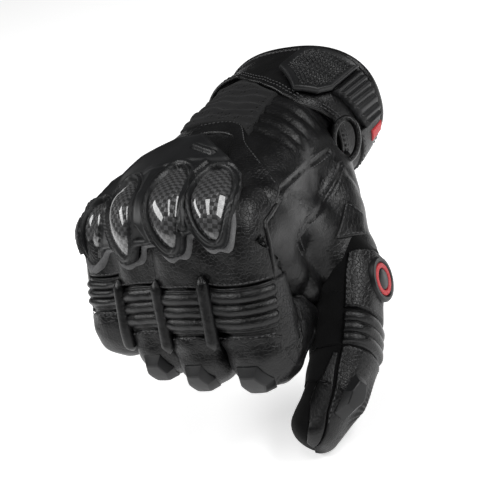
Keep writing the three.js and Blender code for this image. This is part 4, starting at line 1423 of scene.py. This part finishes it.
def build_plate():
    """The strap's stiff end: a raised rim round a field of small diamonds."""
    edge = partial(polygon_distance, [(y, a * MM_PER_DEGREE) for y, a in STRAP_PLATE])
    y, w = grid(0, 38.2, 96, 27.0 * MM_PER_DEGREE, 82 * MM_PER_DEGREE, 90)
    keep, y, w = clean_cut(edge, y, w)
    e = -edge(y, w)
    base, inside = cuff_place(y, w / MM_PER_DEGREE, 2.4)
    normal = grid_normals(base, inside)
    p, q = (y + w * 1.05) / 2.5, (y - w * 1.05) / 2.5
    diamond = np.minimum(np.abs(np.sin(math.pi * p)), np.abs(np.sin(math.pi * q)))
    field = smooth(3.0, 3.8, e)
    ring = bump(np.hypot((p % 1) - 0.5, (q % 1) - 0.5), 0.2, 0.09)
    lift = 1.9 + 0.5 * bump(e, 1.5, 1.3)
    lift = lift - 0.75 * field + field * (0.55 * smooth(0.1, 0.45, diamond) + 0.3 * ring)
    rounded = rounded_edge(e, 1.3)
    top = base + normal * (lift * rounded + 0.7 * (1 - rounded))[..., None]
    made = masked_solid("strap_plate", top, base, keep, inside, TPU, sharp=40)
    fixed_on(made, "strap_end", "moulded_tpu", "wrist_plate")


def build_strap():
    build_plate()
    def near(angle):
        return np.interp(angle, [-14, 4, 27], [22.7, 18.4, 14.6])
    def ribbed(u, v, e, base):
        wave = np.abs(np.sin(math.pi * 7 * (v + 13) / 40))
        return 1.5 * wave ** 0.6 * smooth(0.3, 1.6, e)
    cuff_panel("strap_ribbed", near, 37.2, -13, 27.4, 1.6, 1.5, TPU, "moulded_tpu", "strap", "strap_ribs",
               ribbed)
    for name, y0, y1, a0, a1, lift, height, material, slot, body, node in (
            ("strap_hooks", 13, 33, 51, 73, 1.5, 0.6, LOOPS, "hook_and_loop", "strap_end", "hook_patch"),
            ("strap_loops", 12, 34, 50, 74, 0.7, 0.7, LOOPS, "hook_and_loop", "hand", "closure_patch"),
            ("strap_anchor", 17, 37, -50, -11, 0.9, 1.5, SMOOTH, "smooth_leather", "hand", "strap_base")):
        cuff_panel(name, y0, y1, a0, a1, lift, height, material, slot, body, node, worn_little)
    cuff_panel("pull_tab", 26, 37.5, -27, -17, 2.2, 0.9, RED, "red_rubber", "hand", "red_tab")
    angles = np.linspace(-48, -14, 60)
    for row in (18.8, 35.2):
        stitch("hand", *cuff_line(row, angles, 2.4))


def build_loop():
    """The round pull loop at the edge of the cuff."""
    centre = hand_xyz(*LOOP_CENTRE)
    wide, tall = unit((0.80, 0.50, -0.33)), unit((0.07, 0.46, 0.88))
    a = np.linspace(0, 2 * math.pi, 72, endpoint=False)
    path = centre + 5.6 * np.cos(a)[:, None] * wide + 9.4 * np.sin(a)[:, None] * tall
    up = unit(path - centre)
    made = tube("pull_loop", path, SMOOTH, radius=2.3, up=up, flat=0.62, sides=18, closed=True)
    fixed_on(made, "hand", "smooth_leather", "wrist_loop")
    normal = unit(np.cross(wide, tall))
    stitch("hand", path + normal * 2.1, np.broadcast_to(normal, path.shape), spacing=2.0)


build_cuff()
build_strap()
build_loop()


# ---------------------------------------------------------------- thumb
def lathe(name, centre, axis, profile, material, sides=64):
    """A round closed piece about an axis, from a profile of (radius, height) pairs."""
    side = unit(np.cross(axis, [0, 0, 1.0]))
    a = np.linspace(0, 2 * math.pi, sides, endpoint=False)
    around = side * np.cos(a)[:, None] + np.cross(axis, side) * np.sin(a)[:, None]
    rows = np.array([centre + around * max(r, 0.01) + axis * h for r, h in profile])
    radius, height = np.mean(profile, axis=0)
    middle = np.broadcast_to(centre + around * radius + axis * height, rows.shape)
    faces = facing_out(rows, grid_faces(len(rows), sides, wrap=True, closed=True), middle)
    made = make_mesh(name, rows, faces, material)
    made.data.set_sharp_from_angle(angle=math.radians(40))
    return made


def thumb_panel(name, walks, low, high, material, slot, height, rows, columns, joint, *nodes, **more):
    """A panel on the thumb between two walks, and between two angles given as pairs of walk and angle. It is
    baked in place for a joint, or rides the thumb if joint is 0."""
    w, t = grid(*walks, rows, 0, 1, columns)
    a = lerp(np.interp(w, *zip(*low)), np.interp(w, *zip(*high)), t)
    made = panel(name, THUMB, w, a, material, height=height, **more)
    if joint:
        over_joint(made, "thumb", joint, slot, *nodes)
    else:
        fixed_on(made, "thumb", slot, *nodes)


BADGE_TURN = 14  # degrees that the badge sits round from the middle of the thumb's back
# Half sections of the badge and of the ring set in its groove: radius, and height above the badge's foot.
BADGE_DISC = [(0, 0), (9.6, 0), (9.9, 0.5), (9.9, 4.0), (9.3, 4.8), (8.0, 4.9), (7.4, 4.4), (7.3, 3.9),
              (4.6, 3.9), (4.5, 4.4), (4.0, 4.8), (0, 4.9)]
BADGE_RING = [(4.8, 3.7), (7.1, 3.7), (7.1, 4.5), (6.8, 4.8), (5.1, 4.8), (4.8, 4.5)]
# Seams along the thumb, as pairs of walk and angle: the edge of its outer leather, and of its inner panel.
OUTER_SEAM = [(2, 172), (14, 177), (30, 176), (47, 178), (60, 175), (70, 168), (80, 152), (88, 128),
              (96, 100)]
INNER_SEAM = [(47, 184), (55, 186), (63, 192), (72, 200), (80, 196), (88, 178), (96, 160)]
FAR_SEAM = [(0, 36), (96, 36)]


def build_thumb():
    d = THUMB
    split = d.on(1, 17.0)
    # The thumb's bare skin is the dark suede, whose colour partly paints the shade on the thumb's inner side.
    over_joint(skin("thumb_base_skin", d, -30.0, split + 1.0, 60, SUEDE_WITH_PAINTED_SHADE), "thumb", 1, "suede")
    outer = skin("thumb_skin", d, split, d.end, 70, SUEDE_WITH_PAINTED_SHADE, close=True)
    over_joint(outer, "thumb", 2, "suede", "thumb_sleeve", "thumb_fingertip")

    def soft(u, v, e, base):
        return 0.35 * waves(base, 13.0, 41) + 0.12 * np.sin(u * 2.1 + v * 2) * waves(base, 20, 42)
    end = d.end + 0.8 * d.cap
    back = FAR_SEAM, OUTER_SEAM
    inner = [(w, a + 2.5) for w, a in OUTER_SEAM], INNER_SEAM
    thumb_panel("thumb_back_leather", (1, 30.4), *back, GRAIN, "smooth_leather", 1.0, 60, 90, 1, relief=soft)
    thumb_panel("thumb_ribs", (31, 47.4), *back, SMOOTH, "smooth_leather", 0.5, 84, 80, 0, "thumb_flex_panel",
                relief=rib_relief(31.8, 46.6, THUMB_RIB))
    thumb_panel("thumb_tip_leather", (48.2, end), *back, GRAIN, "grained_leather", 1.0, 90, 90, 2,
                relief=soft)
    thumb_panel("thumb_inner_leather", (53, end), *inner, SMOOTH, "smooth_leather", 0.9, 80, 24, 2,
                relief=soft, roll=0.8)
    for first, last, inset, body in ((3, 29.5, 4, "thumb"), (32, 46.5, 3, "thumb"), (50, 84, 5, "thumb_tip")):
        walks = np.linspace(first, last, 12)
        stitch(body, *d.line(walks, np.interp(walks, *zip(*OUTER_SEAM)) - inset, 0.95))
    for walk, body in ((29.0, "thumb"), (49.8, "thumb_tip")):
        stitch(body, *d.line([walk, walk], [50, 168], 0.95))
    cap_solid("thumb_cap_moulded", d, 69.5, 122.0, 19.0, 50.0, 4.0, "thumb_tip", "thumb_cap")

    centre, _ = joint_place("thumb_knuckle")
    out = turn(unit(np.cross(d.ways[1], d.axes[1])), d.ways[1], BADGE_TURN)
    centre = centre + d.ways[1] * 7 + out * 11.0
    fixed_on(lathe("badge_disc", centre, out, BADGE_DISC, TPU), "thumb", "moulded_tpu", "thumb_badge")
    fixed_on(lathe("badge_red", centre, out, BADGE_RING, RED), "thumb", "red_rubber", "badge_ring")


build_thumb()


# ---------------------------------------------------------------- little finger's pad
def build_side_pad():
    """The puffy padded panel on the outer side of the little finger."""
    d = DIGITS["little"]
    w, a = grid(d.on(1, 4), d.on(1, 31), 60, 140, 212, 64)
    def puffed(u, v, e, base):
        return 2.6 * smooth(0, 7, e) + 0.2 * waves(base, 9.0, 51)
    made = panel("little_pad", d, w, a, SMOOTH, height=LEATHER, roll=1.2, relief=puffed)
    fixed_on(made, "little", "smooth_leather", "little_side_pad")
    rim_stitches(*d(w, a), "little", "u0 u1 v0 v1", 1.0)


build_side_pad()
make_stitches(THREAD)


# ---------------------------------------------------------------- camera, light and floor
AZIMUTH, ELEVATION, ROLL = map(math.radians, (34.5, 21.0, -18.2))
BACK = np.array([math.sin(AZIMUTH) * math.cos(ELEVATION), -math.cos(AZIMUTH) * math.cos(ELEVATION),
                 math.sin(ELEVATION)])
LEVEL = np.array([math.cos(AZIMUTH), math.sin(AZIMUTH), 0])
UP = np.cross(BACK, LEVEL)
RIGHT = LEVEL * math.cos(ROLL) + UP * math.sin(ROLL)
TOP = UP * math.cos(ROLL) - LEVEL * math.sin(ROLL)
AIM = np.array([5.0, -94.4, -20.0])  # inside the glove: the lights point at it, and the camera beside it
CAMERA_DISTANCE = 800
LENS, SENSOR = 134.5, 36.0
FLOOR_HALF = 6.0
FLOOR_GLOW = 0.62
WORLD_LIGHT = 0.045


def put(name, data, place, x, y, z):
    """A camera or a light in the scene at a place in metres. It looks back along z."""
    made = bpy.data.objects.new(name, data)
    bpy.context.scene.collection.objects.link(made)
    made.location = Vector(place)
    made.rotation_mode = "QUATERNION"
    made.rotation_quaternion = Matrix(np.stack([x, y, z], 1).tolist()).to_quaternion()
    return made


def build_camera():
    data = bpy.data.cameras.new("camera")
    data.lens, data.sensor_width = LENS, SENSOR
    data.clip_start, data.clip_end = 0.05, 20.0
    aim = AIM + RIGHT * 3.06 - TOP * 7.43
    bpy.context.scene.camera = put("camera", data, (aim + BACK * CAMERA_DISTANCE) * MM, RIGHT, TOP, BACK)


def strip_light(name, place, width, length, watts):
    """A long softbox a metre off. place says how far to the right in the camera's view, up it and towards
    the camera."""
    z = unit(RIGHT * place[0] + TOP * place[1] + BACK * place[2])
    y = unit(np.cross(z, RIGHT))
    data = bpy.data.lights.new(name, "AREA")
    data.shape, data.size, data.size_y, data.energy = "RECTANGLE", width, length, watts
    put(name, data, AIM * MM + z, np.cross(y, z), y, z)


def build_stage():
    glow = {"Emission Color": (1, 1, 1, 1), "Emission Strength": FLOOR_GLOW}
    r, z = FLOOR_HALF, float(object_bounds()[0][2])
    mesh = bpy.data.meshes.new("floor")
    mesh.from_pydata([(-r, -r, z), (r, -r, z), (r, r, z), (-r, r, z)], [], [(0, 1, 2, 3)])
    mesh.materials.append(Nodes("floor", (0.93, 0.93, 0.93), 0.85, **glow).material)
    floor = bpy.data.objects.new("floor", mesh)
    bpy.context.scene.collection.objects.link(floor)
    world = bpy.data.worlds.new("studio")
    world.use_nodes = True
    background = world.node_tree.nodes["Background"].inputs
    background["Color"].default_value, background["Strength"].default_value = (1, 1, 1, 1), WORLD_LIGHT
    bpy.context.scene.world = world
    bpy.context.scene.view_settings.view_transform = "Standard"
    strip_light("right_strip", (0.52, 0.72, 0.45), 0.34, 1.0, 6.4)
    strip_light("middle_strip", (-0.24, 0.75, 0.60), 0.16, 0.8, 2.6)
    strip_light("left_strip", (-0.85, 0.40, 0.16), 0.30, 1.0, 6.0)


build_camera()
build_stage()
